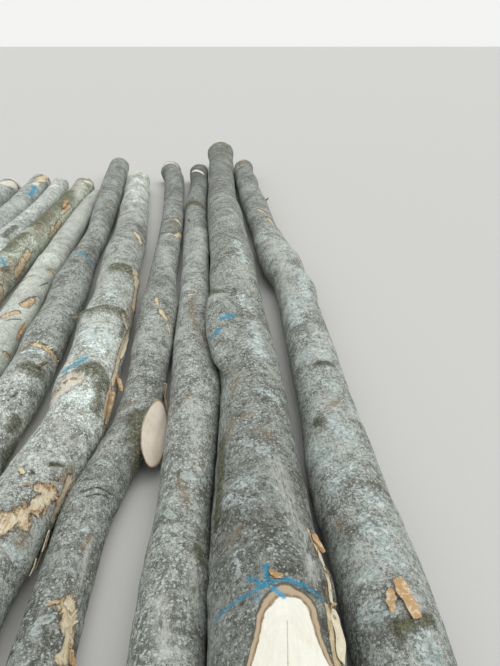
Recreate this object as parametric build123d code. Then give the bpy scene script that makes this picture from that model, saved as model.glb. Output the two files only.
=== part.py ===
from build123d import *
import os
from dataclasses import dataclass, field
from math import ceil, cos, radians, sin, sqrt, tan

# A row of felled hardwood logs lying side by side on level ground, butts towards -Y.
# Sizes are in millimetres. The first log is the one furthest towards +X.

LOG_GAP = 0.3  # air left where a log lies against its neighbour
SCAN_STEP = 25  # how closely two neighbouring logs are compared along their length
RUN_TAPER = 20  # most that the diameter changes within one run of a stem
RIM_STEP = 5  # degrees between the places compared round a sawn limb

# Logs are cut to length in whole steps above the shortest
SHORT_LENGTH = 6000
LENGTH_STEP = 100

# The trim cut along the top of the thickest butt
TRIM_LENGTH = 540
TRIM_DEPTH = 100
TRIM_ROLL = 8  # degrees that the cut leans towards +X

# The healed knot on the thickest log
KNOT_AT = 2450  # distance of its middle from the butt
KNOT_ANGLE = 139  # its side of the stem, in degrees from +X up
KNOT_STAND_OUT = 92
KNOT_LENGTH = 1120
KNOT_WIDTH = 192

# The sawn-off limb of the forked log
LIMB_DIAMETER = 150
LIMB_ROOT_AT = 1750  # distance from the butt to where the limb leaves the stem's axis
LIMB_LENGTH = 900  # before the saw cut, along the stem
LIMB_SPREAD = 15.5  # degrees between the limb and the stem
LIMB_RISE = 75  # how far the limb's axis climbs over that length
LIMB_STAND_OFF = 60  # how far the sawn face stands out from the stem's side
LIMB_FACE_TILT = 34  # degrees that the sawn face looks upwards


@dataclass
class Knot:
    """A healed knot: a long oval swelling on one side of the stem."""

    at: float  # distance of its middle from the butt
    angle: float  # its side of the stem, in degrees from +X up
    stand_out: float
    half_length: float
    half_width: float

    def disc(self, log, y):
        """The knot's round section across the row at this Y, or nothing past its ends."""
        away = (y - log.butt_line - self.at) / self.half_length
        if abs(away) >= 1:
            return []
        x, z = self.middle(log)
        return [(x, z, self.half_width * sqrt(1 - away**2))]

    def middle(self, log):
        """The sideways place and the height of the knot's middle."""
        bend, diameter = log.girth(log.butt_line + self.at)
        out = diameter / 2 + self.stand_out - self.half_width
        return bend + out * cos(radians(self.angle)), diameter / 2 + out * sin(radians(self.angle))


@dataclass
class Log:
    """A log as a forester calipers it: girths are (distance from the butt, sideways bend, diameter)."""

    node: str
    butt_line: float  # Y of the sawn butt
    length: float
    top: tuple  # sideways bend and diameter of the sawn top
    girths: list
    knots: list = field(default_factory=list)
    forked: bool = False

    @property
    def top_line(self):
        return self.butt_line + self.length

    def measured(self):
        """The girths that this length reaches, and the top."""
        return [girth for girth in self.girths if girth[0] < self.length] + [(self.length, *self.top)]

    def girth(self, y):
        """The sideways bend and the diameter of the stem at this Y."""
        at = y - self.butt_line
        measured = self.measured()
        before, after = measured[0], measured[1]
        for following in measured[2:]:
            if at <= after[0]:
                break
            before, after = after, following
        share = (at - before[0]) / (after[0] - before[0])
        bend = before[1] + share * (after[1] - before[1])
        diameter = before[2] + share * (after[2] - before[2])
        return bend, diameter

    def section_lines(self):
        """Y of every section of the stem, from the butt to the top: the girths, and more where it tapers fast."""
        lines = [self.butt_line]
        for y in [self.butt_line + at for at, _, _ in self.measured()[1:]]:
            taper = abs(self.girth(y)[1] - self.girth(lines[-1])[1])
            runs = max(ceil(taper / RUN_TAPER), 1)
            start = lines[-1]
            lines += [start + (y - start) * i / runs for i in range(1, runs + 1)]
        return lines

    def discs(self, y):
        """Every round section of the log at this Y, as (sideways place, height, radius)."""
        bend, diameter = self.girth(y)
        found = [(bend, diameter / 2, diameter / 2)]
        for knot in self.knots:
            found += knot.disc(self, y)
        if self.forked:
            found += limb_rim(self, y)
        return found


LOGS = [
    Log("log_01", 530, SHORT_LENGTH + 14 * LENGTH_STEP, (-18, 270), [
        (0, -8, 286), (450, 10, 292), (950, 2, 298), (1400, 26, 270), (2050, 48, 268), (2650, 70, 263),
        (2880, 82, 284), (3120, 72, 262), (3350, 48, 304), (3520, 28, 312), (3850, 12, 284), (4450, -5, 254),
        (5300, -25, 274), (5900, -42, 267), (6450, -40, 278), (7000, -50, 262),
    ]),
    Log("log_02", 300, SHORT_LENGTH + 25 * LENGTH_STEP, (27, 404), [
        (0, -16, 400), (800, 0, 374), (1350, 14, 337), (1900, 38, 321), (2450, 20, 334), (3200, 0, 346),
        (3650, 8, 350), (4350, -5, 337), (4950, -10, 354), (5400, -20, 330), (6400, -8, 322), (7250, 10, 336),
        (8050, 25, 352),
    ], knots=[Knot(KNOT_AT, KNOT_ANGLE, KNOT_STAND_OUT, KNOT_LENGTH / 2, KNOT_WIDTH / 2)]),
    Log("log_03", 430, SHORT_LENGTH + 13 * LENGTH_STEP, (-14, 262), [
        (0, -52, 228), (650, -20, 235), (950, -8, 212), (1400, 15, 236), (1800, 30, 260), (2150, 15, 242),
        (3250, 0, 217), (4150, -5, 231), (5500, -24, 233), (6500, -5, 223), (7000, -8, 240),
    ]),
    Log("log_04", 480, SHORT_LENGTH + 13 * LENGTH_STEP, (-150, 286), [
        (0, -152, 196), (700, -136, 189), (950, -118, 203), (1180, -70, 204), (1450, -14, 196), (1750, 18, 212),
        (2100, 20, 225), (2500, 20, 244), (2850, 22, 254), (3250, 8, 215), (4100, 4, 216), (5200, -6, 225),
        (5950, -36, 230), (6450, -56, 246), (6900, -84, 250),
    ], forked=True),
    Log("log_05", 540, SHORT_LENGTH + 7 * LENGTH_STEP, (-224, 266), [
        (0, -196, 286), (550, -118, 288), (1200, 4, 278), (1450, 45, 285), (1650, 40, 309), (1950, 36, 300),
        (2420, 22, 312), (2750, 24, 298), (3250, -12, 296), (3700, -32, 316), (4050, -34, 302), (4600, -68, 292),
        (5300, -122, 297), (5800, -155, 279),
    ]),
    Log("log_06", 340, SHORT_LENGTH + 19 * LENGTH_STEP, (-300, 274), [
        (0, -176, 262), (750, -96, 252), (1400, -32, 245), (2150, 8, 243), (2500, -2, 254), (2900, -10, 244),
        (3380, -30, 262), (3850, -56, 230), (4650, -68, 210), (5250, -102, 240), (6020, -156, 272),
        (6800, -214, 282),
    ]),
    Log("log_07", 200, SHORT_LENGTH + 6 * LENGTH_STEP, (-127, 136), [
        (0, -185, 236), (900, -96, 232), (2000, -16, 226), (3100, -26, 220), (4050, -54, 218), (5000, -78, 204),
        (6000, -106, 182),
    ]),
    Log("log_08", 300, SHORT_LENGTH + 7 * LENGTH_STEP, (6, 254), [
        (0, -112, 262), (2000, -62, 254), (3400, -54, 244), (4400, -46, 246), (5100, -22, 230), (5800, -4, 232), (6400, 4, 230),
    ]),
    Log("log_09", 400, SHORT_LENGTH + 8 * LENGTH_STEP, (-70, 208), [
        (0, -96, 250), (1700, -60, 238), (3000, -30, 236), (4800, -16, 218), (5500, 8, 216),
    ]),
    Log("log_10", 300, SHORT_LENGTH + 10 * LENGTH_STEP, (-84, 240), [
        (0, -118, 268), (1500, -80, 262), (3000, -34, 256), (4300, -10, 258), (5500, 10, 248), (6100, -16, 250),
    ]),
    Log("log_11", 260, SHORT_LENGTH + 7 * LENGTH_STEP, (-44, 264), [
        (0, -66, 280), (1800, -44, 270), (3500, -20, 274), (5200, 8, 264),
    ]),
]


def room_between(disc, other):
    """How far apart sideways two round sections must be for LOG_GAP of air between them."""
    reach = disc[2] + other[2] + LOG_GAP
    step = disc[1] - other[1]
    if abs(step) >= reach:
        return None
    return sqrt(reach**2 - step**2)


def side_by_side(logs):
    """X of each log's line: every log is rolled against the one before it until they all but touch."""
    lines = [0.0]
    for right, left in zip(logs, logs[1:]):
        start = max(right.butt_line, left.butt_line)
        end = min(right.top_line, left.top_line)
        steps = ceil((end - start) / SCAN_STEP)
        places = [start + (end - start) * i / steps for i in range(steps + 1)]
        places += [y for y in (*right.section_lines(), *left.section_lines()) if start <= y <= end]
        needed = 0.0
        for y in places:
            for right_disc in right.discs(y):
                for left_disc in left.discs(y):
                    room = room_between(right_disc, left_disc)
                    if room is not None:
                        needed = max(needed, room - right_disc[0] + left_disc[0])
        lines.append(lines[-1] - needed)
    return lines


def stem(log, line):
    """Round sections standing on the ground, joined by straight runs as the girths are stated."""
    rings = []
    for y in log.section_lines():
        bend, diameter = log.girth(y)
        across = Plane(origin=(line + bend, y, diameter / 2), x_dir=(1, 0, 0), z_dir=(0, 1, 0))
        rings.append(across * Circle(diameter / 2))
    return loft(rings, ruled=True)


def knot_swelling(log, knot, line):
    """Half an ellipse spun about the knot's own long axis, which lies along the stem."""
    x, z = knot.middle(log)
    rim = EllipticalCenterArc((0, 0), knot.half_length, knot.half_width, start_angle=0, arc_size=180)
    half = make_face([rim, Line((-knot.half_length, 0), (knot.half_length, 0))])
    oval = revolve(half, Axis.X)
    return Pos(line + x, log.butt_line + knot.at, z) * Rot(0, 0, 90) * oval


def butt_trim(log, line):
    """The wedge that a saw takes off the top of a flared butt, from TRIM_LENGTH along down to the sawn end."""
    start_bend, start_diameter = log.girth(log.butt_line)
    end_diameter = log.girth(log.butt_line + TRIM_LENGTH)[1]
    start_top = start_diameter / 2 - TRIM_DEPTH
    end_top = end_diameter - start_diameter / 2
    slope = (end_top - start_top) / TRIM_LENGTH
    width = start_diameter + end_diameter
    high = end_top + TRIM_DEPTH
    profile = Polyline(
        (-TRIM_DEPTH, start_top - slope * TRIM_DEPTH),
        (TRIM_LENGTH + TRIM_DEPTH, end_top + slope * TRIM_DEPTH),
        (TRIM_LENGTH + TRIM_DEPTH, high + slope * TRIM_DEPTH),
        (-TRIM_DEPTH, high + slope * TRIM_DEPTH),
        close=True,
    )
    wedge = extrude(Plane.YZ * make_face(profile), width / 2, both=True)
    return Pos(line + start_bend, log.butt_line, start_diameter / 2) * Rot(0, TRIM_ROLL, 0) * wedge


def limb_axis(log):
    """The limb's axis, from where it leaves the stem to its far end, beside the log's own line."""
    root_y = log.butt_line + LIMB_ROOT_AT
    bend, diameter = log.girth(root_y)
    start = Vector(bend, root_y, diameter / 2)
    end = start + Vector(LIMB_LENGTH * tan(radians(LIMB_SPREAD)), -LIMB_LENGTH, LIMB_RISE)
    return start, end


def limb_face(log):
    """The saw cut through the limb: it runs along the stem, LIMB_STAND_OFF out from its side, and looks upwards."""
    start, end = limb_axis(log)
    near_bend, near_diameter = log.girth(end.Y)
    far_bend, far_diameter = log.girth(start.Y)
    near_side = Vector(near_bend + near_diameter / 2, end.Y, start.Z)
    far_side = Vector(far_bend + far_diameter / 2, start.Y, start.Z)
    middle = (near_side + far_side) * 0.5 + Vector(LIMB_STAND_OFF, 0, 0)
    along = far_side - near_side
    outward = along.cross(Vector(0, 0, 1)).normalized()
    tilt = radians(LIMB_FACE_TILT)
    return Plane(origin=middle, x_dir=along, z_dir=outward * cos(tilt) + Vector(0, 0, sin(tilt)))


def limb_rim(log, y):
    """Points round the sawn limb's section at this Y, as discs of no size."""
    start, end = limb_axis(log)
    if not end.Y <= y <= start.Y:
        return []
    middle = start + (end - start) * ((start.Y - y) / (start.Y - end.Y))
    face = limb_face(log)
    wide = LIMB_DIAMETER / 2 / cos(radians(LIMB_SPREAD))
    points = []
    for turn in range(0, 360, RIM_STEP):
        x = middle.X + wide * cos(radians(turn))
        z = middle.Z + LIMB_DIAMETER / 2 * sin(radians(turn))
        beyond = (Vector(x, y, z) - face.origin).dot(face.z_dir)
        points.append((x - max(beyond, 0) / face.z_dir.X, z, 0))
    return points


def sawn_limb(log, line):
    """The stump of a forked limb: it leaves the stem towards the butt and +X, and is sawn off along the stem."""
    start, end = limb_axis(log)
    path = end - start
    limb = Plane(origin=start, z_dir=path) * extrude(Circle(LIMB_DIAMETER / 2), path.length)
    return Pos(line, 0, 0) * split(limb, bisect_by=limb_face(log), keep=Keep.BOTTOM)


def build():
    lines = side_by_side(LOGS)
    bodies = {}
    for log, line in zip(LOGS, lines):
        body = stem(log, line)
        for knot in log.knots:
            body += knot_swelling(log, knot, line)
        if log.forked:
            body += sawn_limb(log, line)
        bodies[log.node] = body
    thick = LOGS[1]
    bodies[thick.node] -= butt_trim(thick, lines[1])

    # the origin is under the middle of the row, on the ground
    boxes = [body.bounding_box() for body in bodies.values()]
    middle_x = (min(box.min.X for box in boxes) + max(box.max.X for box in boxes)) / 2
    middle_y = (min(box.min.Y for box in boxes) + max(box.max.Y for box in boxes)) / 2
    return {node: Pos(-middle_x, -middle_y, 0) * body for node, body in bodies.items()}


os.makedirs("parts", exist_ok=True)
for node, body in build().items():
    export_step(body, f"parts/{node}.step")
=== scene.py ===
import math
import random

import bpy
import numpy as np
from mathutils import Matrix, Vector


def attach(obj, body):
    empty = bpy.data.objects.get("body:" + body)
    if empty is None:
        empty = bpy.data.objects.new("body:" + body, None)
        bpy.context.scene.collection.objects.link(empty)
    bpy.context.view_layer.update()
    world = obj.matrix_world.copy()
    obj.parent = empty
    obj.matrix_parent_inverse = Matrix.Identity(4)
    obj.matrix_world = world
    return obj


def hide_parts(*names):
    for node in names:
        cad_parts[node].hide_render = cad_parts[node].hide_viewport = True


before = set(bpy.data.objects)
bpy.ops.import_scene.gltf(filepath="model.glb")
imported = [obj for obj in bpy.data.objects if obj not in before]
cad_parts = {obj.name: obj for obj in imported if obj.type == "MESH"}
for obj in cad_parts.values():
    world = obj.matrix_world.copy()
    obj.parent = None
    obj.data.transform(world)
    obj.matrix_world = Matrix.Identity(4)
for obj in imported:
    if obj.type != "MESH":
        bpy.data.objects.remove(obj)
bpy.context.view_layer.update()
bpy.ops.object.select_all(action="DESELECT")
print("packed logs loaded")


# small helpers for node trees: a value is a number, a colour, a place or another node's output

def newNode(tree, kind, **settings):
    node = tree.nodes.new(kind)
    for key, value in settings.items():
        setattr(node, key, value)
    return node


def put(tree, socket, value):
    if isinstance(value, bpy.types.NodeSocket):
        tree.links.new(value, socket)
    elif isinstance(value, tuple) and len(value) == 3 and socket.type == "RGBA":
        socket.default_value = (*value, 1)
    else:
        socket.default_value = value


def calc(tree, operation, a, b=0.0, clamp=False):
    node = newNode(tree, "ShaderNodeMath", operation=operation, use_clamp=clamp)
    put(tree, node.inputs[0], a)
    put(tree, node.inputs[1], b)
    return node.outputs[0]


def plus(tree, a, b):
    return calc(tree, "ADD", a, b)


def minus(tree, a, b):
    return calc(tree, "SUBTRACT", a, b)


def larger(tree, a, b):
    return calc(tree, "MAXIMUM", a, b)


def clamped(tree, value):
    return calc(tree, "ADD", value, 0.0, True)


def times(tree, product, *others):
    for other in others:
        product = calc(tree, "MULTIPLY", product, other)
    return product


def raised(tree, height, mask, by):
    # the relief, by so much higher where the mask is 1
    return plus(tree, height, times(tree, mask, by))


def calcVector(tree, operation, *values, scale=None):
    node = newNode(tree, "ShaderNodeVectorMath", operation=operation)
    for socket, value in zip(node.inputs, values):
        put(tree, socket, value)
    if scale is not None:
        put(tree, node.inputs["Scale"], scale)
    return node.outputs["Value" if operation in ("DOT_PRODUCT", "DISTANCE") else "Vector"]


def coordinates(tree, kind="Object"):
    return newNode(tree, "ShaderNodeTexCoord").outputs[kind]


def attribute(tree, name, output="Fac"):
    return newNode(tree, "ShaderNodeAttribute", attribute_name=name).outputs[output]


def noise(tree, vector, scale, detail=4.0, roughness=0.55, distortion=0.0, output=0):
    # a pattern with three scales is finer along some axes than along others
    if isinstance(scale, tuple):
        vector, scale = calcVector(tree, "MULTIPLY", vector, scale), 1
    node = newNode(tree, "ShaderNodeTexNoise")
    put(tree, node.inputs["Vector"], vector)
    node.inputs["Scale"].default_value = scale
    node.inputs["Detail"].default_value = detail
    node.inputs["Roughness"].default_value = roughness
    node.inputs["Distortion"].default_value = distortion
    return node.outputs[output]


def cells(tree, vector, scale):
    node = newNode(tree, "ShaderNodeTexVoronoi")
    put(tree, node.inputs["Vector"], vector)
    node.inputs["Scale"].default_value = scale
    return node.outputs


def between(tree, value, low, high, toLow=0.0, toHigh=1.0):
    node = newNode(tree, "ShaderNodeMapRange", interpolation_type="SMOOTHSTEP")
    for socket, given in zip(node.inputs, (value, low, high, toLow, toHigh)):
        put(tree, socket, given)
    return node.outputs[0]


def blend(tree, mask, first, second, mode="MIX"):
    node = newNode(tree, "ShaderNodeMix", data_type="RGBA", blend_type=mode)
    put(tree, node.inputs["Factor"], mask)
    put(tree, node.inputs["A"], first)
    put(tree, node.inputs["B"], second)
    return node.outputs["Result"]


def coated(tree, skin, mask, strength, tint):
    # the skin with a colour laid over it where the mask is 1, as thickly as strength says
    return blend(tree, times(tree, mask, strength), skin, tint)


def weighted(tree, parts, start):
    # adds up how far each value lies from one half, each with its own weight
    total = start
    for value, weight in parts:
        total = raised(tree, total, minus(tree, value, 0.5), weight)
    return total


def wandering(tree, vector, scale, reach):
    # the same place, moved a little to and fro, so that spots get uneven edges
    wander = noise(tree, vector, scale, 3, 0.5, output="Color")
    wander = calcVector(tree, "SUBTRACT", wander, (0.5, 0.5, 0.5))
    return calcVector(tree, "MULTIPLY_ADD", wander, (reach, reach, reach), vector)


spotEdge = (-0.06, 0.03, 1.0, 0.0)


def speckled(tree, vector, scale, size):
    # round spots, one to a cell, each as big as its cell's own chance and the size allow
    cell = cells(tree, vector, scale)
    reach = times(tree, cell["Color"], size)
    return between(tree, minus(tree, cell["Distance"], reach), *spotEdge)


def newGroup(name, inputs, outputs):
    tree = bpy.data.node_groups.new(name, "ShaderNodeTree")
    for way, sockets in (("INPUT", inputs), ("OUTPUT", outputs)):
        for label, kind in sockets.items():
            tree.interface.new_socket(label, in_out=way, socket_type="NodeSocket" + kind)
    return tree, newNode(tree, "NodeGroupInput").outputs, newNode(tree, "NodeGroupOutput").inputs


def useGroup(tree, group, **values):
    node = newNode(tree, "ShaderNodeGroup", node_tree=group)
    for label, value in values.items():
        put(tree, node.inputs[label], value)
    return node.outputs


def newMaterial(name):
    material = bpy.data.materials.new(name)
    material.use_nodes = True
    return material, material.node_tree, material.node_tree.nodes["Principled BSDF"]


dryShine = 0.25


def finishShader(tree, shader, tint, height, depth, strength=1.0):
    bump = newNode(tree, "ShaderNodeBump")
    bump.inputs["Strength"].default_value = strength
    bump.inputs["Distance"].default_value = depth
    put(tree, bump.inputs["Height"], height)
    put(tree, shader.inputs["Base Color"], tint)
    put(tree, shader.inputs["Normal"], bump.outputs["Normal"])
    shader.inputs["Specular IOR Level"].default_value = dryShine


# camera, light and floor

cameraSetup = {
    "place": (0.958, -4.6885, 1.709),  # standing just behind the butts, at eye height
    "tiltUp": 62.65,
    "turnRight": 4.0,
    "lens": 30.13,
    "sightEnd": 1000,
}
bpy.ops.object.camera_add(
    location=cameraSetup["place"],
    rotation=(math.radians(cameraSetup["tiltUp"]), 0, math.radians(-cameraSetup["turnRight"])),
)
camera = bpy.context.object
camera.name = "viewCamera"
camera.data.lens = cameraSetup["lens"]
camera.data.clip_end = cameraSetup["sightEnd"]
bpy.context.scene.camera = camera
bpy.context.scene.view_settings.view_transform = "Standard"

lightSetup = {
    "place": (0, 0, 8),
    "turn": (0.20, 0.30, 0),
    "level": 1.20,
    "softness": 1.1,
    "tint": (1.0, 0.99, 0.97),
    "skyLevel": 0.74,
    "skyTint": (0.955, 0.985, 1.0),
    "backdrop": (0.90, 0.90, 0.89),
}
bpy.ops.object.light_add(type="SUN", location=lightSetup["place"], rotation=lightSetup["turn"])
overhead = bpy.context.object
overhead.name = "overheadLight"
overhead.data.energy = lightSetup["level"]
overhead.data.angle = lightSetup["softness"]
overhead.data.color = lightSetup["tint"]


def skyAndBackdrop():
    # the sky lights the logs, and the camera and shiny things see the pale backdrop instead
    world = bpy.data.worlds.new("studioSky")
    bpy.context.scene.world = world
    world.use_nodes = True
    tree = world.node_tree
    tree.nodes.clear()
    sky = newNode(tree, "ShaderNodeBackground")
    put(tree, sky.inputs["Color"], lightSetup["skyTint"])
    put(tree, sky.inputs["Strength"], lightSetup["skyLevel"])
    seen = newNode(tree, "ShaderNodeBackground")
    put(tree, seen.inputs["Color"], lightSetup["backdrop"])
    rays = newNode(tree, "ShaderNodeLightPath").outputs
    direct = larger(tree, rays["Is Camera Ray"], rays["Is Glossy Ray"])
    pick = newNode(tree, "ShaderNodeMixShader")
    put(tree, pick.inputs[0], larger(tree, direct, rays["Is Transmission Ray"]))
    put(tree, pick.inputs[1], sky.outputs[0])
    put(tree, pick.inputs[2], seen.outputs[0])
    put(tree, newNode(tree, "ShaderNodeOutputWorld").inputs[0], pick.outputs[0])


skyAndBackdrop()

floorSetup = {"reach": 1200, "paint": (0.60, 0.59, 0.57), "roughness": 0.9}
bpy.ops.mesh.primitive_plane_add(size=floorSetup["reach"], location=(0, 0, 0))
floor = bpy.context.object
floor.name = "floor"
floorPaint, floorTree, floorShader = newMaterial("paleFloor")
put(floorTree, floorShader.inputs["Base Color"], floorSetup["paint"])
put(floorTree, floorShader.inputs["Roughness"], floorSetup["roughness"])
floor.data.materials.append(floorPaint)
print("camera, light and floor ready")


# smooth beech bark: grey skin with mottling, pores across the stem, pale flecks and crusts of lichen.
# a pattern is: how fine it is, its detail, roughness and distortion. pores, ripples and pits run round the
# stem, so they are short along Y. a ramp is from where to where a mask rises, and its ends if not 0 and 1

barkSetup = {
    "patterns": {
        "broad": (3.1, 5, 0.6),
        "blotches": (13, 5, 0.66),
        "mottle": ((62, 44, 62), 7, 0.78),
        "grain": (230, 3, 0.85),
        "ripples": ((8, 110, 8), 4, 0.7, 0.3),
        "pores": ((34, 200, 34), 4, 0.7, 0.3),
        "drift": (4.3, 4, 0.6, 0.5),
        "flecks": ((62, 95, 62), 6, 0.76, 0.5),
        "field": (9.5, 6, 0.66, 1.0),
        "crumbs": (66, 5, 0.68, 0.8),
        "crustTint": (31, 3),
    },
    "toneStart": 0.38,
    "tone": {"broad": 1.4, "blotches": 2.0, "mottle": 3.5, "grain": 3.2, "ripples": 0.7, "pores": 0.4},
    "wander": (90, 0.012),
    # how many to the metre, how big, how strong, and their colour
    "dots": (80, 1.0, 0.80, (0.60, 0.64, 0.60)),
    "freckles": (44, 0.80, 0.75, (0.60, 0.64, 0.605)),
    "pits": (70, 0.60, 0.60, (0.072, 0.072, 0.058)),
    "pitShape": (1.0, 1.7, 1.0),
    # the noise above which each shows, and how far a drift, the lichen or the bloom lowers that
    "fleckLevel": (0.765, 0.44),
    "lichenLevel": (0.78, 0.30),
    "crumbLevel": (0.60, 0.12),
    "ringWander": (30, 0.03),
    "ringCells": 12,
    "ringReach": (0.10, 0.22),
    "ringStrength": 0.8,
    "fleckRamp": (-0.006, 0.022),
    "bloomRamp": (-0.05, 0.08),
    "crustRamp": (-0.008, 0.014),
    "crustWithin": (-0.06, -0.01),
    "crustTintRamp": (0.38, 0.62),
    "ringRamp": (0.018, 0.045, 1.0, 0.0),
    "ringBroken": (0.40, 0.50),
    "ringWithin": (-0.07, -0.02),
    "roughRamp": (0.3, 0.7, 0.74, 0.94),
    "bloom": (0.22, (0.33, 0.41, 0.39)),
    "crust": (0.88, (0.47, 0.555, 0.525), (0.72, 0.775, 0.75)),
    "relief": {"grain": 0.5, "mottle": 1.0, "pores": 0.35},
    "reliefOver": {"pale": 0.28, "dots": 0.14, "pits": -0.25},
}


def lowered(tree, levels, by):
    # a level that comes down where the value is high
    start, most = levels
    return minus(tree, start, times(tree, by, most))


def makeBarkGroup():
    tree, given, result = newGroup(
        "beechBark",
        {
            "Dark": "Color", "Light": "Color", "Tone": "Float", "Lichen": "Float", "Flecks": "Float",
            "Wrinkles": "Float",
        },
        {"Color": "Color", "Height": "Float", "Roughness": "Float"},
    )
    here = coordinates(tree)
    made = {name: noise(tree, here, *pattern) for name, pattern in barkSetup["patterns"].items()}

    def mixed(weights, start):
        return weighted(tree, [(made[name], weight) for name, weight in weights.items()], start)

    tone = mixed(barkSetup["tone"], barkSetup["toneStart"])
    skin = blend(tree, clamped(tree, tone), given["Dark"], given["Light"])
    uneven = wandering(tree, here, *barkSetup["wander"])
    squeezed = calcVector(tree, "MULTIPLY", uneven, barkSetup["pitShape"])
    flecked = times(tree, made["drift"], given["Flecks"])
    over = {}
    for name, where, driver in (
        ("dots", uneven, made["drift"]), ("freckles", uneven, flecked), ("pits", squeezed, made["broad"]),
    ):
        toMetre, size, strength, tint = barkSetup[name]
        over[name] = speckled(tree, where, toMetre, times(tree, driver, size))
        skin = coated(tree, skin, over[name], strength, tint)

    # white flecks in drifts, and lichen: swarms of small crusts over a faint blue-grey bloom, and now and
    # then a thin ring
    fleckAt = lowered(tree, barkSetup["fleckLevel"], flecked)
    flecks = between(tree, minus(tree, made["flecks"], fleckAt), *barkSetup["fleckRamp"])
    lichen = minus(tree, made["field"], lowered(tree, barkSetup["lichenLevel"], given["Lichen"]))
    bloom = between(tree, lichen, *barkSetup["bloomRamp"])
    crumbAt = lowered(tree, barkSetup["crumbLevel"], bloom)
    crust = between(tree, minus(tree, made["crumbs"], crumbAt), *barkSetup["crustRamp"])
    crust = times(tree, crust, between(tree, lichen, *barkSetup["crustWithin"]))
    ringCell = cells(tree, wandering(tree, here, *barkSetup["ringWander"]), barkSetup["ringCells"])
    ringStart, ringSpread = barkSetup["ringReach"]
    ringReach = plus(tree, ringStart, times(tree, ringCell["Color"], ringSpread))
    ringLine = calc(tree, "ABSOLUTE", minus(tree, ringCell["Distance"], ringReach))
    ring = times(
        tree, between(tree, ringLine, *barkSetup["ringRamp"]),
        between(tree, made["crumbs"], *barkSetup["ringBroken"]),
        between(tree, lichen, *barkSetup["ringWithin"]), barkSetup["ringStrength"],
    )
    over["pale"] = larger(tree, larger(tree, crust, flecks), ring)
    skin = coated(tree, skin, bloom, *barkSetup["bloom"])
    crustStrength, crustShade, crustLight = barkSetup["crust"]
    crustTint = blend(
        tree, between(tree, made["crustTint"], *barkSetup["crustTintRamp"]), crustShade, crustLight,
    )
    skin = coated(tree, skin, over["pale"], crustStrength, crustTint)

    height = mixed(barkSetup["relief"], times(tree, made["ripples"], given["Wrinkles"]))
    for name, by in barkSetup["reliefOver"].items():
        height = raised(tree, height, over[name], by)
    put(tree, result["Color"], blend(tree, 1.0, skin, given["Tone"], "MULTIPLY"))
    put(tree, result["Height"], height)
    put(tree, result["Roughness"], between(tree, made["mottle"], *barkSetup["roughRamp"]))
    return tree


# wood laid bare where bark was torn: fibres along the stem, in cream, tan and brown

tornSetup = {
    "fibres": (1, 7, 0.78, 0.2),
    "flakes": (46, 6, 0.74, 0.4),
    "tintRamp": (0.36, 0.62),
    "creamRamp": (0.50, 0.58),
    "rustRamp": (0.42, 0.36),
    "cream": (0.85, (0.86, 0.80, 0.62)),
    "rust": (0.65, (0.30, 0.165, 0.08)),
    "flakeRelief": 0.6,
}


def makeTornGroup():
    tree, given, result = newGroup(
        "tornWood", {"Dark": "Color", "Light": "Color", "Along": "Vector"}, {"Color": "Color", "Height": "Float"},
    )
    fibres = noise(tree, given["Along"], *tornSetup["fibres"])
    flakes = noise(tree, coordinates(tree), *tornSetup["flakes"])
    tint = blend(tree, between(tree, fibres, *tornSetup["tintRamp"]), given["Dark"], given["Light"])
    tint = coated(tree, tint, between(tree, flakes, *tornSetup["creamRamp"]), *tornSetup["cream"])
    tint = coated(tree, tint, between(tree, flakes, *tornSetup["rustRamp"]), *tornSetup["rust"])
    put(tree, result["Color"], tint)
    put(tree, result["Height"], raised(tree, fibres, flakes, tornSetup["flakeRelief"]))
    return tree


# sawn wood: rings round the pith, rays, a brown heart and a thin ring of bark at the edge

woodSetup = {
    "wobble": (8, 4, 0.5),
    "wobbleReach": 0.02,
    "ringRate": 1300,  # radians to the metre, so a ring lies about every 5 mm
    "ringDepth": 0.17,
    "warmth": (11, 5, 0.6),
    "fibres": ((150, 9, 150), 5, 0.66),
    "rays": (1, 3, 0.7),
    "raysRound": 26,
    "raysOut": 9,
    "rayRamp": (0.3, 0.62, 0.88, 1.02),
    "warmRamp": (0.32, 0.68),
    "fibreRamp": (0.3, 0.7, 0.93, 1.02),
    "heartShare": 0.30,
    "heartWobble": 0.30,
    "heartRamp": (-0.012, 0.008, 1.0, 0.0),
    "heart": (0.40, 0.22, 0.13),
    "edge": (40, 4),
    "edgeReach": 0.004,
    # through the bark, with 0 at its outside and 1 where the wood begins
    "woodRamp": (0.9, 1.05),
    "innerRamp": (0.14, 0.32),
    "seamRamp": (0.62, 0.84),
    "seamBroken": (0.4, 0.55, 0.4, 1.0),
    "outerBark": (0.12, 0.105, 0.08),
    "innerBark": (0.48, 0.38, 0.255),
    "seam": (0.27, 0.165, 0.085),
    "ringRelief": 1.6,
    "fibreRelief": 0.7,
}


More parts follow.
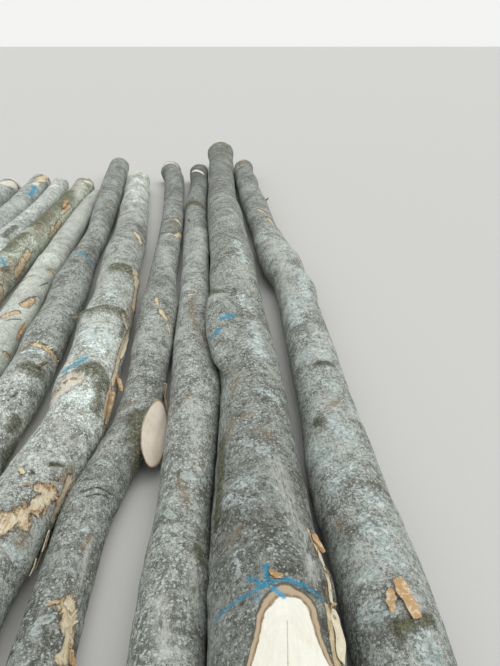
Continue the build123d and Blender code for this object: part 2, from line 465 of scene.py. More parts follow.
def makeWoodGroup():
    tree, given, result = newGroup(
        "sawnWood",
        {
            "Pith": "Vector", "Girth": "Float", "Pale": "Color", "Warm": "Color", "Heart": "Float",
            "EndGrain": "Float", "BarkDepth": "Float",
        },
        {"Color": "Color", "Height": "Float"},
    )
    here = coordinates(tree)
    wobble, warmth, fibres, edge = (
        noise(tree, here, *woodSetup[name]) for name in ("wobble", "warmth", "fibres", "edge")
    )
    parts = newNode(tree, "ShaderNodeSeparateXYZ")
    put(tree, parts.inputs[0], given["Pith"])
    across, up = parts.outputs["X"], parts.outputs["Z"]
    plainRadius = calc(tree, "SQRT", plus(tree, times(tree, across, across), times(tree, up, up)))
    radius = raised(tree, plainRadius, wobble, woodSetup["wobbleReach"])
    rings = between(tree, calc(tree, "SINE", times(tree, radius, woodSetup["ringRate"])), -1.0, 1.0)
    rings = minus(tree, 1.0, times(tree, rings, given["EndGrain"], woodSetup["ringDepth"]))
    wheel = newNode(tree, "ShaderNodeCombineXYZ")
    put(tree, wheel.inputs["X"], times(tree, calc(tree, "ARCTAN2", up, across), woodSetup["raysRound"]))
    put(tree, wheel.inputs["Y"], times(tree, radius, woodSetup["raysOut"]))
    rays = between(tree, noise(tree, wheel.outputs[0], *woodSetup["rays"]), *woodSetup["rayRamp"])
    rays = raised(tree, 1.0, minus(tree, rays, 1.0), given["EndGrain"])

    tint = blend(tree, between(tree, warmth, *woodSetup["warmRamp"]), given["Pale"], given["Warm"])
    heartShare = raised(tree, woodSetup["heartShare"], wobble, woodSetup["heartWobble"])
    heartEdge = times(tree, given["Girth"], heartShare)
    heart = between(tree, minus(tree, radius, heartEdge), *woodSetup["heartRamp"])
    tint = blend(tree, times(tree, heart, given["Heart"], given["EndGrain"]), tint, woodSetup["heart"])
    shade = times(tree, rings, between(tree, fibres, *woodSetup["fibreRamp"]), rays)
    wood = blend(tree, 1.0, tint, shade, "MULTIPLY")

    depth = weighted(tree, [(edge, woodSetup["edgeReach"])], minus(tree, given["Girth"], plainRadius))
    depth = calc(tree, "DIVIDE", depth, given["BarkDepth"])
    inWood = between(tree, depth, *woodSetup["woodRamp"])
    inner = between(tree, depth, *woodSetup["innerRamp"])
    bark = blend(tree, inner, woodSetup["outerBark"], woodSetup["innerBark"])
    seam = times(
        tree, between(tree, depth, *woodSetup["seamRamp"]), between(tree, fibres, *woodSetup["seamBroken"]),
    )
    bark = blend(tree, seam, bark, woodSetup["seam"])
    put(tree, result["Color"], blend(tree, inWood, bark, wood))
    relief = raised(tree, times(tree, rings, woodSetup["ringRelief"]), fibres, woodSetup["fibreRelief"])
    put(tree, result["Height"], times(tree, plus(tree, relief, inWood), inWood))
    return tree


barkGroup = makeBarkGroup()
tornGroup = makeTornGroup()
woodGroup = makeWoodGroup()


# marks on the bark. each is laid where its attribute says, with an edge worn ragged by noise: a patch is
# where the edge begins and ends, and how ragged it is. broken is the ramp that leaves gaps in a mark

markSetup = {
    "ragged": ((44, 22, 44), 8, 0.80, 0.4),
    "raggedBy": 1.5,
    "streaks": ((80, 20, 80), 6, 0.78),
    "clumps": (95, 5, 0.8),
    "mossGrain": (60, 4, 0.7),
    "islands": (52, 5, 0.7, 0.5),
    "tornStretch": (130, 11, 130),
    "lichenGain": 1.1,
    "paleBroken": (0.42, 0.56),
    "pale": (0.78, (0.60, 0.61, 0.555)),
    "stainPatch": (0.30, 0.95, 1.2),
    "stainBroken": (0.42, 0.55, 0.12, 0.80),
    "stainTints": ((0.13, 0.09, 0.05), (0.38, 0.28, 0.17)),
    "crackPatch": (0.72, 0.84, 0.7),
    "crack": (0.66, (0.05, 0.038, 0.027)),
    "ringInner": (0.30, 0.44, 0.7),
    "ringOuter": (0.86, 0.62, 0.7),
    "ringBroken": (0.38, 0.47, 0.1, 1.0),
    "ringFilling": (0.45, 0.65, 0.8),
    "ringFill": (0.28, (0.42, 0.46, 0.43)),
    "ringLine": (0.68, (0.56, 0.62, 0.59)),
    "mossPatch": (0.16, 0.80, 1.0),
    "mossBroken": (0.43, 0.49, 0.1, 1.0),
    "mossTintRamp": (0.35, 0.65),
    "mossTints": ((0.040, 0.040, 0.020), (0.215, 0.205, 0.085)),
    "mossStrength": 0.86,
    "mossRelief": 0.9,
    # the rim round torn bark: the brown torn edge, darkened with painted shade of the step down to the wood
    "rimInner": (0.42, 0.48, 1.0),
    "rimOuter": (0.72, 0.58, 1.0),
    "rimBroken": (0.36, 0.56, 0.15, 0.85),
    "rimTint": (0.13, 0.075, 0.04),
    "tornPatch": (0.47, 0.53, 1.0),
    "tornBroken": (0.32, 0.36),
    "peelPatch": (0.46, 0.54, 0.8),
    "peelTintRamp": (0.36, 0.58),
    "peelTints": ((0.68, 0.61, 0.46), (0.88, 0.86, 0.75)),
    "bareRelief": -1.4,
    "tornRelief": 0.8,
    "paintPatch": (0.24, 0.95, 1.2),
    "paintBroken": (0.38, 0.54, 0.40, 1.0),
    "paintTintRamp": (0.35, 0.65),
    "paintTints": ((0.002, 0.20, 0.37), (0.012, 0.37, 0.56)),
    "paintStrength": 0.94,
    "bumpDepth": 0.0042,
}


def barkMaterial(name, look):
    material, tree, shader = newMaterial(name)
    here = coordinates(tree)
    ragged, streaks, clumps, mossGrain, islands = (
        noise(tree, here, *markSetup[pattern]) for pattern in ("ragged", "streaks", "clumps", "mossGrain", "islands")
    )
    edge = times(tree, minus(tree, ragged, 0.5), markSetup["raggedBy"])

    def patch(label, shape):
        low, high, roughEdge = markSetup[shape]
        worn = raised(tree, attribute(tree, label), edge, roughEdge)
        return between(tree, worn, low, high)

    def ramp(value, shape):
        return between(tree, value, *markSetup[shape])

    lichen = raised(tree, look["lichenLevel"], attribute(tree, "lichen"), markSetup["lichenGain"])
    bark = useGroup(
        tree, barkGroup, Dark=look["dark"], Light=look["light"], Tone=attribute(tree, "tone"), Lichen=lichen,
        Flecks=look["flecks"], Wrinkles=look["wrinkles"],
    )
    skin, height = bark["Color"], bark["Height"]

    # pale weathered streaks, brown stains, cracks, lichen rings and moss
    pale = times(tree, attribute(tree, "pale"), ramp(streaks, "paleBroken"))
    skin = coated(tree, skin, pale, *markSetup["pale"])
    stain = times(tree, patch("brown", "stainPatch"), ramp(clumps, "stainBroken"))
    skin = blend(tree, stain, skin, blend(tree, streaks, *markSetup["stainTints"]))
    crack = patch("crack", "crackPatch")
    skin = coated(tree, skin, crack, *markSetup["crack"])
    height = minus(tree, height, crack)
    outline = times(tree, patch("ring", "ringInner"), patch("ring", "ringOuter"), ramp(clumps, "ringBroken"))
    skin = coated(tree, skin, patch("ring", "ringFilling"), *markSetup["ringFill"])
    skin = coated(tree, skin, outline, *markSetup["ringLine"])
    moss = times(tree, patch("moss", "mossPatch"), ramp(clumps, "mossBroken"))
    mossTint = blend(tree, ramp(mossGrain, "mossTintRamp"), *markSetup["mossTints"])
    skin = coated(tree, skin, moss, markSetup["mossStrength"], mossTint)
    height = raised(tree, height, moss, markSetup["mossRelief"])

    # bark torn off: a dark frayed rim of brown edge and painted shade, then wood with islands of bark left on it
    along = calcVector(tree, "MULTIPLY", here, markSetup["tornStretch"])
    torn = useGroup(tree, tornGroup, Dark=look["tornDark"], Light=look["tornLight"], Along=along)
    scar = times(tree, patch("scar", "tornPatch"), ramp(islands, "tornBroken"))
    skin = blend(tree, scar, skin, torn["Color"])
    # the rim is the brown of the torn edge, darkened with painted shade of the step down to the wood
    rim = times(tree, patch("scar", "rimInner"), patch("scar", "rimOuter"), ramp(streaks, "rimBroken"))
    skin = blend(tree, rim, skin, markSetup["rimTint"])
    peel = patch("peeled", "peelPatch")
    skin = blend(tree, peel, skin, blend(tree, ramp(streaks, "peelTintRamp"), *markSetup["peelTints"]))
    bare = larger(tree, scar, peel)
    height = raised(tree, height, bare, markSetup["bareRelief"])
    height = plus(tree, height, times(tree, torn["Height"], bare, markSetup["tornRelief"]))

    # blue marking paint, sprayed on
    spray = times(tree, patch("paint", "paintPatch"), ramp(clumps, "paintBroken"))
    paintTint = blend(tree, ramp(clumps, "paintTintRamp"), *markSetup["paintTints"])
    skin = coated(tree, skin, spray, markSetup["paintStrength"], paintTint)
    put(tree, shader.inputs["Roughness"], bark["Roughness"])
    finishShader(tree, shader, skin, height, markSetup["bumpDepth"])
    return material


# sawn faces, with the lines drawn on them

sawnSetup = {"waver": (90, 5, 0.7), "waverBy": 2.2, "bumpDepth": 0.0012, "bump": 0.6, "roughness": 0.7}


def lineMask(tree, here, start, end, halfWidth, soft):
    # 1 on the straight line between two points of the sawn face, with a wavering edge
    line = Vector(end) - Vector(start)
    offset = calcVector(tree, "SUBTRACT", here, start)
    share = calcVector(tree, "DOT_PRODUCT", offset, line / line.length_squared)
    nearest = calcVector(tree, "SCALE", line, scale=clamped(tree, share))
    away = calcVector(tree, "DISTANCE", offset, nearest)
    away = weighted(tree, [(noise(tree, here, *sawnSetup["waver"]), soft * sawnSetup["waverBy"])], away)
    return between(tree, away, halfWidth - soft, halfWidth + soft, 1.0, 0.0)


def woodMaterial(name, look):
    material, tree, shader = newMaterial(name)
    here = coordinates(tree)
    wood = useGroup(
        tree, woodGroup, Pith=attribute(tree, "pith", "Vector"), Girth=attribute(tree, "girth"),
        Pale=look["woodPale"], Warm=look["woodWarm"], Heart=look["heart"], EndGrain=attribute(tree, "endGrain"),
        BarkDepth=look["barkDepth"],
    )
    tint = wood["Color"]
    for start, end, halfWidth, soft, strength, lineTint in look.get("woodLines", ()):
        tint = coated(tree, tint, lineMask(tree, here, start, end, halfWidth, soft), strength, lineTint)
    finishShader(tree, shader, tint, wood["Height"], sawnSetup["bumpDepth"], sawnSetup["bump"])
    put(tree, shader.inputs["Roughness"], sawnSetup["roughness"])
    return material


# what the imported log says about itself: where its round sections stand, and its sawn faces

sectionFit = {"below": 0.1, "fewestPoints": 6, "neighbours": 2, "oddBy": 0.035}


def stemSections(node):
    # a circle standing on the ground is fitted to the low part of each section, clear of knots and limbs
    points = np.array([v.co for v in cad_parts[node].data.vertices], float)
    lines = {}
    for point in points:
        lines.setdefault(round(point[1], 3), []).append(point)
    found = []
    for y in sorted(lines):
        ring = np.unique(np.round(np.array(lines[y]), 4), axis=0)
        low = ring[ring[:, 2] < sectionFit["below"]]
        if len(low) < sectionFit["fewestPoints"]:
            continue
        terms = np.column_stack([2 * low[:, 0], 2 * low[:, 2], np.ones(len(low))])
        x, radius, _ = np.linalg.lstsq(terms, (low[:, (0, 2)] ** 2).sum(1), rcond=None)[0]
        found.append((x, y, radius))
    # the limb's own edges give a wrong circle here and there, which is left out
    found = np.array(found)
    span = sectionFit["neighbours"]
    usual = [np.median(found[max(k - span, 0):k + span + 1, 2]) for k in range(len(found))]
    return found[np.abs(found[:, 2] - usual) < sectionFit["oddBy"]]


def stemAt(sections, y):
    # the stem's middle and radius at a place along the row
    x = np.interp(y, sections[:, 1], sections[:, 0])
    return x, np.interp(y, sections[:, 1], sections[:, 2])


roughlySameWay = 0.8


def flatFace(node, towards):
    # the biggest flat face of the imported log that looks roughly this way: its middle and normal
    flats = {}
    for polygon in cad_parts[node].data.polygons:
        if polygon.normal.dot(Vector(towards)) > roughlySameWay:
            group = flats.setdefault(tuple(round(n, 2) for n in polygon.normal), [0.0, Vector(), Vector()])
            group[0] += polygon.area
            group[1] += polygon.area * polygon.center
            group[2] += polygon.area * polygon.normal
    area, middle, normal = max(flats.values(), key=lambda group: group[0])
    return middle / area, normal.normalized()


def activate(piece):
    bpy.ops.object.select_all(action="DESELECT")
    piece.select_set(True)
    bpy.context.view_layer.objects.active = piece


def applyAll(piece):
    activate(piece)
    for modifier in list(piece.modifiers):
        bpy.ops.object.modifier_apply(modifier=modifier.name)


def joinInto(piece, other):
    activate(piece)
    other.select_set(True)
    bpy.ops.object.join()


def vertexArray(piece):
    points = np.empty(len(piece.data.vertices) * 3)
    piece.data.vertices.foreach_get("co", points)
    return points.reshape(-1, 3)


def normalArray(piece):
    normals = np.empty(len(piece.data.vertices) * 3, np.float32)
    piece.data.vertex_normals.foreach_get("vector", normals)
    return normals.reshape(-1, 3).astype(float)


def cornerVertices(piece):
    corners = np.empty(len(piece.data.loops), np.int32)
    piece.data.loops.foreach_get("vertex_index", corners)
    return corners


def storeVertices(piece, points):
    piece.data.vertices.foreach_set("co", points.ravel())
    piece.data.update()


def setAttribute(piece, name, values, kind="FLOAT", domain="POINT"):
    layer = piece.data.attributes.new(name, kind, domain)
    layer.data.foreach_set("vector" if kind == "FLOAT_VECTOR" else "value", values.astype(np.float32).ravel())


def lumpBy(piece, name, size, strength):
    texture = bpy.data.textures.new(piece.name + name, "CLOUDS")
    texture.noise_scale = size
    texture.noise_depth = 3
    lumps = piece.modifiers.new(name, "DISPLACE")
    lumps.texture = texture
    lumps.texture_coords = "LOCAL"
    lumps.strength = strength
    lumps.mid_level = 0.5


sawSetup = {"smallestFace": 0.008, "sameWay": 0.99, "tightness": 0.00001}


def sawOff(piece, place, outward, within=None):
    # saws along a plane, and the new face gets the second material. within says which vertices the saw meets
    activate(piece)
    bpy.ops.object.mode_set(mode="EDIT")
    bpy.ops.mesh.select_all(action="SELECT" if within is None else "DESELECT")
    if within is not None:
        bpy.ops.object.mode_set(mode="OBJECT")
        piece.data.vertices.foreach_set("select", within)
        bpy.ops.object.mode_set(mode="EDIT")
        bpy.ops.mesh.select_mode(type="VERT")
        bpy.ops.mesh.select_mode(type="FACE")
    bpy.ops.mesh.bisect(
        plane_co=place, plane_no=outward, use_fill=True, clear_outer=True, threshold=sawSetup["tightness"],
    )
    bpy.ops.mesh.select_mode(type="VERT")
    bpy.ops.object.mode_set(mode="OBJECT")
    way = Vector(outward).normalized()
    for polygon in piece.data.polygons:
        if polygon.area > sawSetup["smallestFace"] and abs(polygon.normal.dot(way)) > sawSetup["sameWay"]:
            polygon.material_index = 1


def onStem(points, sections):
    # each point as: way from the butt, angle round it in degrees, stem radius there, and the way from the pith
    x, radius = stemAt(sections, points[:, 1])
    across, up = points[:, 0] - x, points[:, 2] - radius
    return points[:, 1] - sections[0, 1], np.degrees(np.arctan2(up, across)), radius, across, up


strokeReach = 2.2  # how many half widths from its line a stroke is worked out
noLength = 1e-9


def strokeField(place, path, width):
    # 1 on the stroke's line, 0.5 at its edge, 0 from twice as far out, measured over the unrolled bark. a path
    # of one point is a round spot
    along, angle, radius = place[:3]
    nearest = np.full(len(along), np.inf)
    for (from0, turn0), (from1, turn1) in zip(path, path[1:] or path):
        near = np.abs(along - (from0 + from1) / 2) < abs(from1 - from0) / 2 + strokeReach * width
        turned = (angle[near] - turn0 + 180) % 360 - 180
        offset = np.column_stack([along[near] - from0, np.radians(turned) * radius[near]])
        run = np.column_stack([np.full(near.sum(), from1 - from0), math.radians(turn1 - turn0) * radius[near]])
        share = np.clip((offset * run).sum(1) / np.maximum((run * run).sum(1), noLength), 0, 1)
        offset = offset - share[:, None] * run
        nearest[near] = np.minimum(nearest[near], np.hypot(offset[:, 0], offset[:, 1]))
    return np.clip(1 - 0.5 * nearest / width, 0, 1)


def strokesField(place, strokes):
    total = np.zeros(len(place[0]))
    for width, path in strokes:
        total = np.maximum(total, strokeField(place, path, width))
    return total


tubeSetup = {"overhang": 0.05, "stepsAlong": 12, "stepsRound": 14}


def roundStem(node, sections):
    # a tube along the log's heart, a little longer than the log at both ends
    line = sections.copy()
    line[0, 1] -= tubeSetup["overhang"]
    line[-1, 1] += tubeSetup["overhang"]
    bpy.ops.curve.primitive_bezier_curve_add(location=(0, 0, 0))
    tube = bpy.context.object
    tube.name = node + "_tube"
    tube.data.dimensions = "3D"
    spline = tube.data.splines[0]
    spline.bezier_points.add(len(line) - 2)
    for knot, (x, y, radius) in zip(spline.bezier_points, line):
        knot.co = (x, y, radius)
        knot.radius = radius
        knot.handle_left_type = knot.handle_right_type = "AUTO"
    spline.radius_interpolation = "CARDINAL"
    spline.resolution_u = tubeSetup["stepsAlong"]
    tube.data.bevel_depth = 1.0
    tube.data.bevel_resolution = tubeSetup["stepsRound"]
    tube.data.use_fill_caps = True
    activate(tube)
    bpy.ops.object.convert(target="MESH")
    return bpy.context.object


skinSetup = {
    "smoothing": (0.5, 12),
    "lumpSize": 0.40,
    "knobSize": 0.10,
    # where each mark begins to be sunk or raised, over how much of its field, and by how many metres
    "torn": (0.4, 0.25, -0.0055),
    "crack": (0.4, 0.4, -0.004),
    "moss": (0.0, 1.0, 0.003),
    "creaseAngle": 42,
}
markNames = ("scar", "peeled", "crack", "brown", "moss", "pale", "lichen", "ring", "paint")


def plainSkin(node, look, sections, extras):
    # tube, knot and limb run into one even skin, with soft lumps
    log = roundStem(node, sections)
    log.name = node + "_skin"
    log.data.name = log.name
    log.data.materials.clear()
    log.data.materials.append(barkMaterial(node + "_bark", look))
    log.data.materials.append(woodMaterial(node + "_wood", look))
    for extra in extras:
        joinInto(log, extra)
    remesh = log.modifiers.new("evenSkin", "REMESH")
    remesh.mode = "VOXEL"
    remesh.voxel_size = look["skinStep"]
    smoother = log.modifiers.new("smooth", "SMOOTH")
    smoother.factor, smoother.iterations = skinSetup["smoothing"]
    lumpBy(log, "lumps", skinSetup["lumpSize"], look["lumps"])
    lumpBy(log, "knobs", skinSetup["knobSize"], look["knobs"])
    applyAll(log)
    return log


def raiseMarks(log, look, sections):
    # swellings and grooves, then torn bark and cracks sunk a little and moss standing up
    points = vertexArray(log)
    place = onStem(points, sections)
    rise = np.zeros(len(points))
    for height, width, path in look.get("swell", ()):
        field = strokeField(place, path, width)
        rise += height * (3 - 2 * field) * field ** 2
    fields = {name: strokesField(place, look.get(name, ())) for name in ("scar", "peeled", "crack", "moss")}
    fields["torn"] = np.maximum(fields["scar"], fields["peeled"])
    for name in ("torn", "crack", "moss"):
        start, span, by = skinSetup[name]
        rise += by * np.clip((fields[name] - start) / span, 0, 1)
    points += normalArray(log) * rise[:, None]
    points[:, 2] = np.maximum(points[:, 2], 0)
    storeVertices(log, points)
    return place


def markSkin(log, look, sections, limb):
    # what the materials read: marks and tone on the vertices, place round the pith on the sawn faces
    points = vertexArray(log)
    place = onStem(points, sections)
    for name in markNames:
        setAttribute(log, name, strokesField(place, look.get(name, ())))
    setAttribute(log, "tone", np.interp(place[0], *zip(*look["tone"])))
    corners = cornerVertices(log)
    pith = np.column_stack([place[3], place[0], place[4]])[corners]
    girth = np.hypot(place[3], place[4])[corners]
    endGrain = np.zeros(len(corners))
    for polygon in log.data.polygons:
        if polygon.material_index == 1:
            endGrain[list(polygon.loop_indices)] = abs(polygon.normal.y)
    if limb:
        # the sawn limb has a pith of its own
        start, way, middle = limb
        offset = points - np.array(start)
        offset -= (offset @ np.array(way))[:, None] * np.array(way)
        for polygon in log.data.polygons:
            if polygon.material_index == 1 and (polygon.center - middle).length < limbSetup["faceReach"]:
                loops = list(polygon.loop_indices)
                pith[loops] = offset[corners[loops]]
                girth[loops] = np.linalg.norm(offset[corners[loops]], axis=1)
                endGrain[loops] = limbSetup["endGrain"]
    setAttribute(log, "pith", pith, "FLOAT_VECTOR", "CORNER")
    setAttribute(log, "girth", girth, "FLOAT", "CORNER")
    setAttribute(log, "endGrain", endGrain, "FLOAT", "CORNER")


def makeLog(node, look, extras, cuts, limb):
    sections = stemSections(node)
    log = plainSkin(node, look, sections, extras)
    place = raiseMarks(log, look, sections)
    for middle, outward, within in cuts:
        sawOff(log, middle, outward, within(place) if within else None)
    sawOff(log, (0, sections[0][1], 0), (0, -1, 0))
    sawOff(log, (0, sections[-1][1], 0), (0, 1, 0))
    markSkin(log, look, sections, limb)
    activate(log)
    bpy.ops.object.shade_smooth_by_angle(angle=math.radians(skinSetup["creaseAngle"]))
    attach(log, "root")
    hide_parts(node)
    print(node, "has its bark:", len(log.data.polygons), "faces")
    return log, sections


plainLook = {
    "skinStep": 0.012,
    "lumps": 0.014,
    "knobs": 0.006,
    "lichenLevel": 0.25,
    "flecks": 0.55,
    "wrinkles": 0.7,
    "tornDark": (0.50, 0.32, 0.15),
    "tornLight": (0.82, 0.68, 0.44),
    "woodPale": (0.84, 0.78, 0.62),
    "woodWarm": (0.78, 0.66, 0.46),
    "heart": 0.35,
    "barkDepth": 0.005,
}


def lookOf(**own):
    return {**plainLook, **own}


# lines on the slanting cut: the blue stroke over its upper edge and a fine crack. each is: from and to, half
# its width, how soft its edge is, how strong it is, and its colour
strokePaint, crackPaint = (0.03, 0.30, 0.52), (0.42, 0.33, 0.22)
bevelLines = [
    ((1.072, -3.640, 0.388), (1.120, -3.680, 0.376), 0.0075, 0.004, 0.80, strokePaint),
    ((1.122, -3.745, 0.366), (1.112, -3.835, 0.354), 0.0012, 0.0012, 0.75, crackPaint),
    ((1.112, -3.835, 0.354), (1.098, -3.960, 0.335), 0.0016, 0.0014, 0.75, crackPaint),
]

# each log: what its bark looks like, and the marks on it. tone lightens or darkens it along the log:
# (metres from the butt, how much). a mark is (half its width, [(metres from the butt, degrees round the log
# from +X up), ...]), and a swelling has its height first

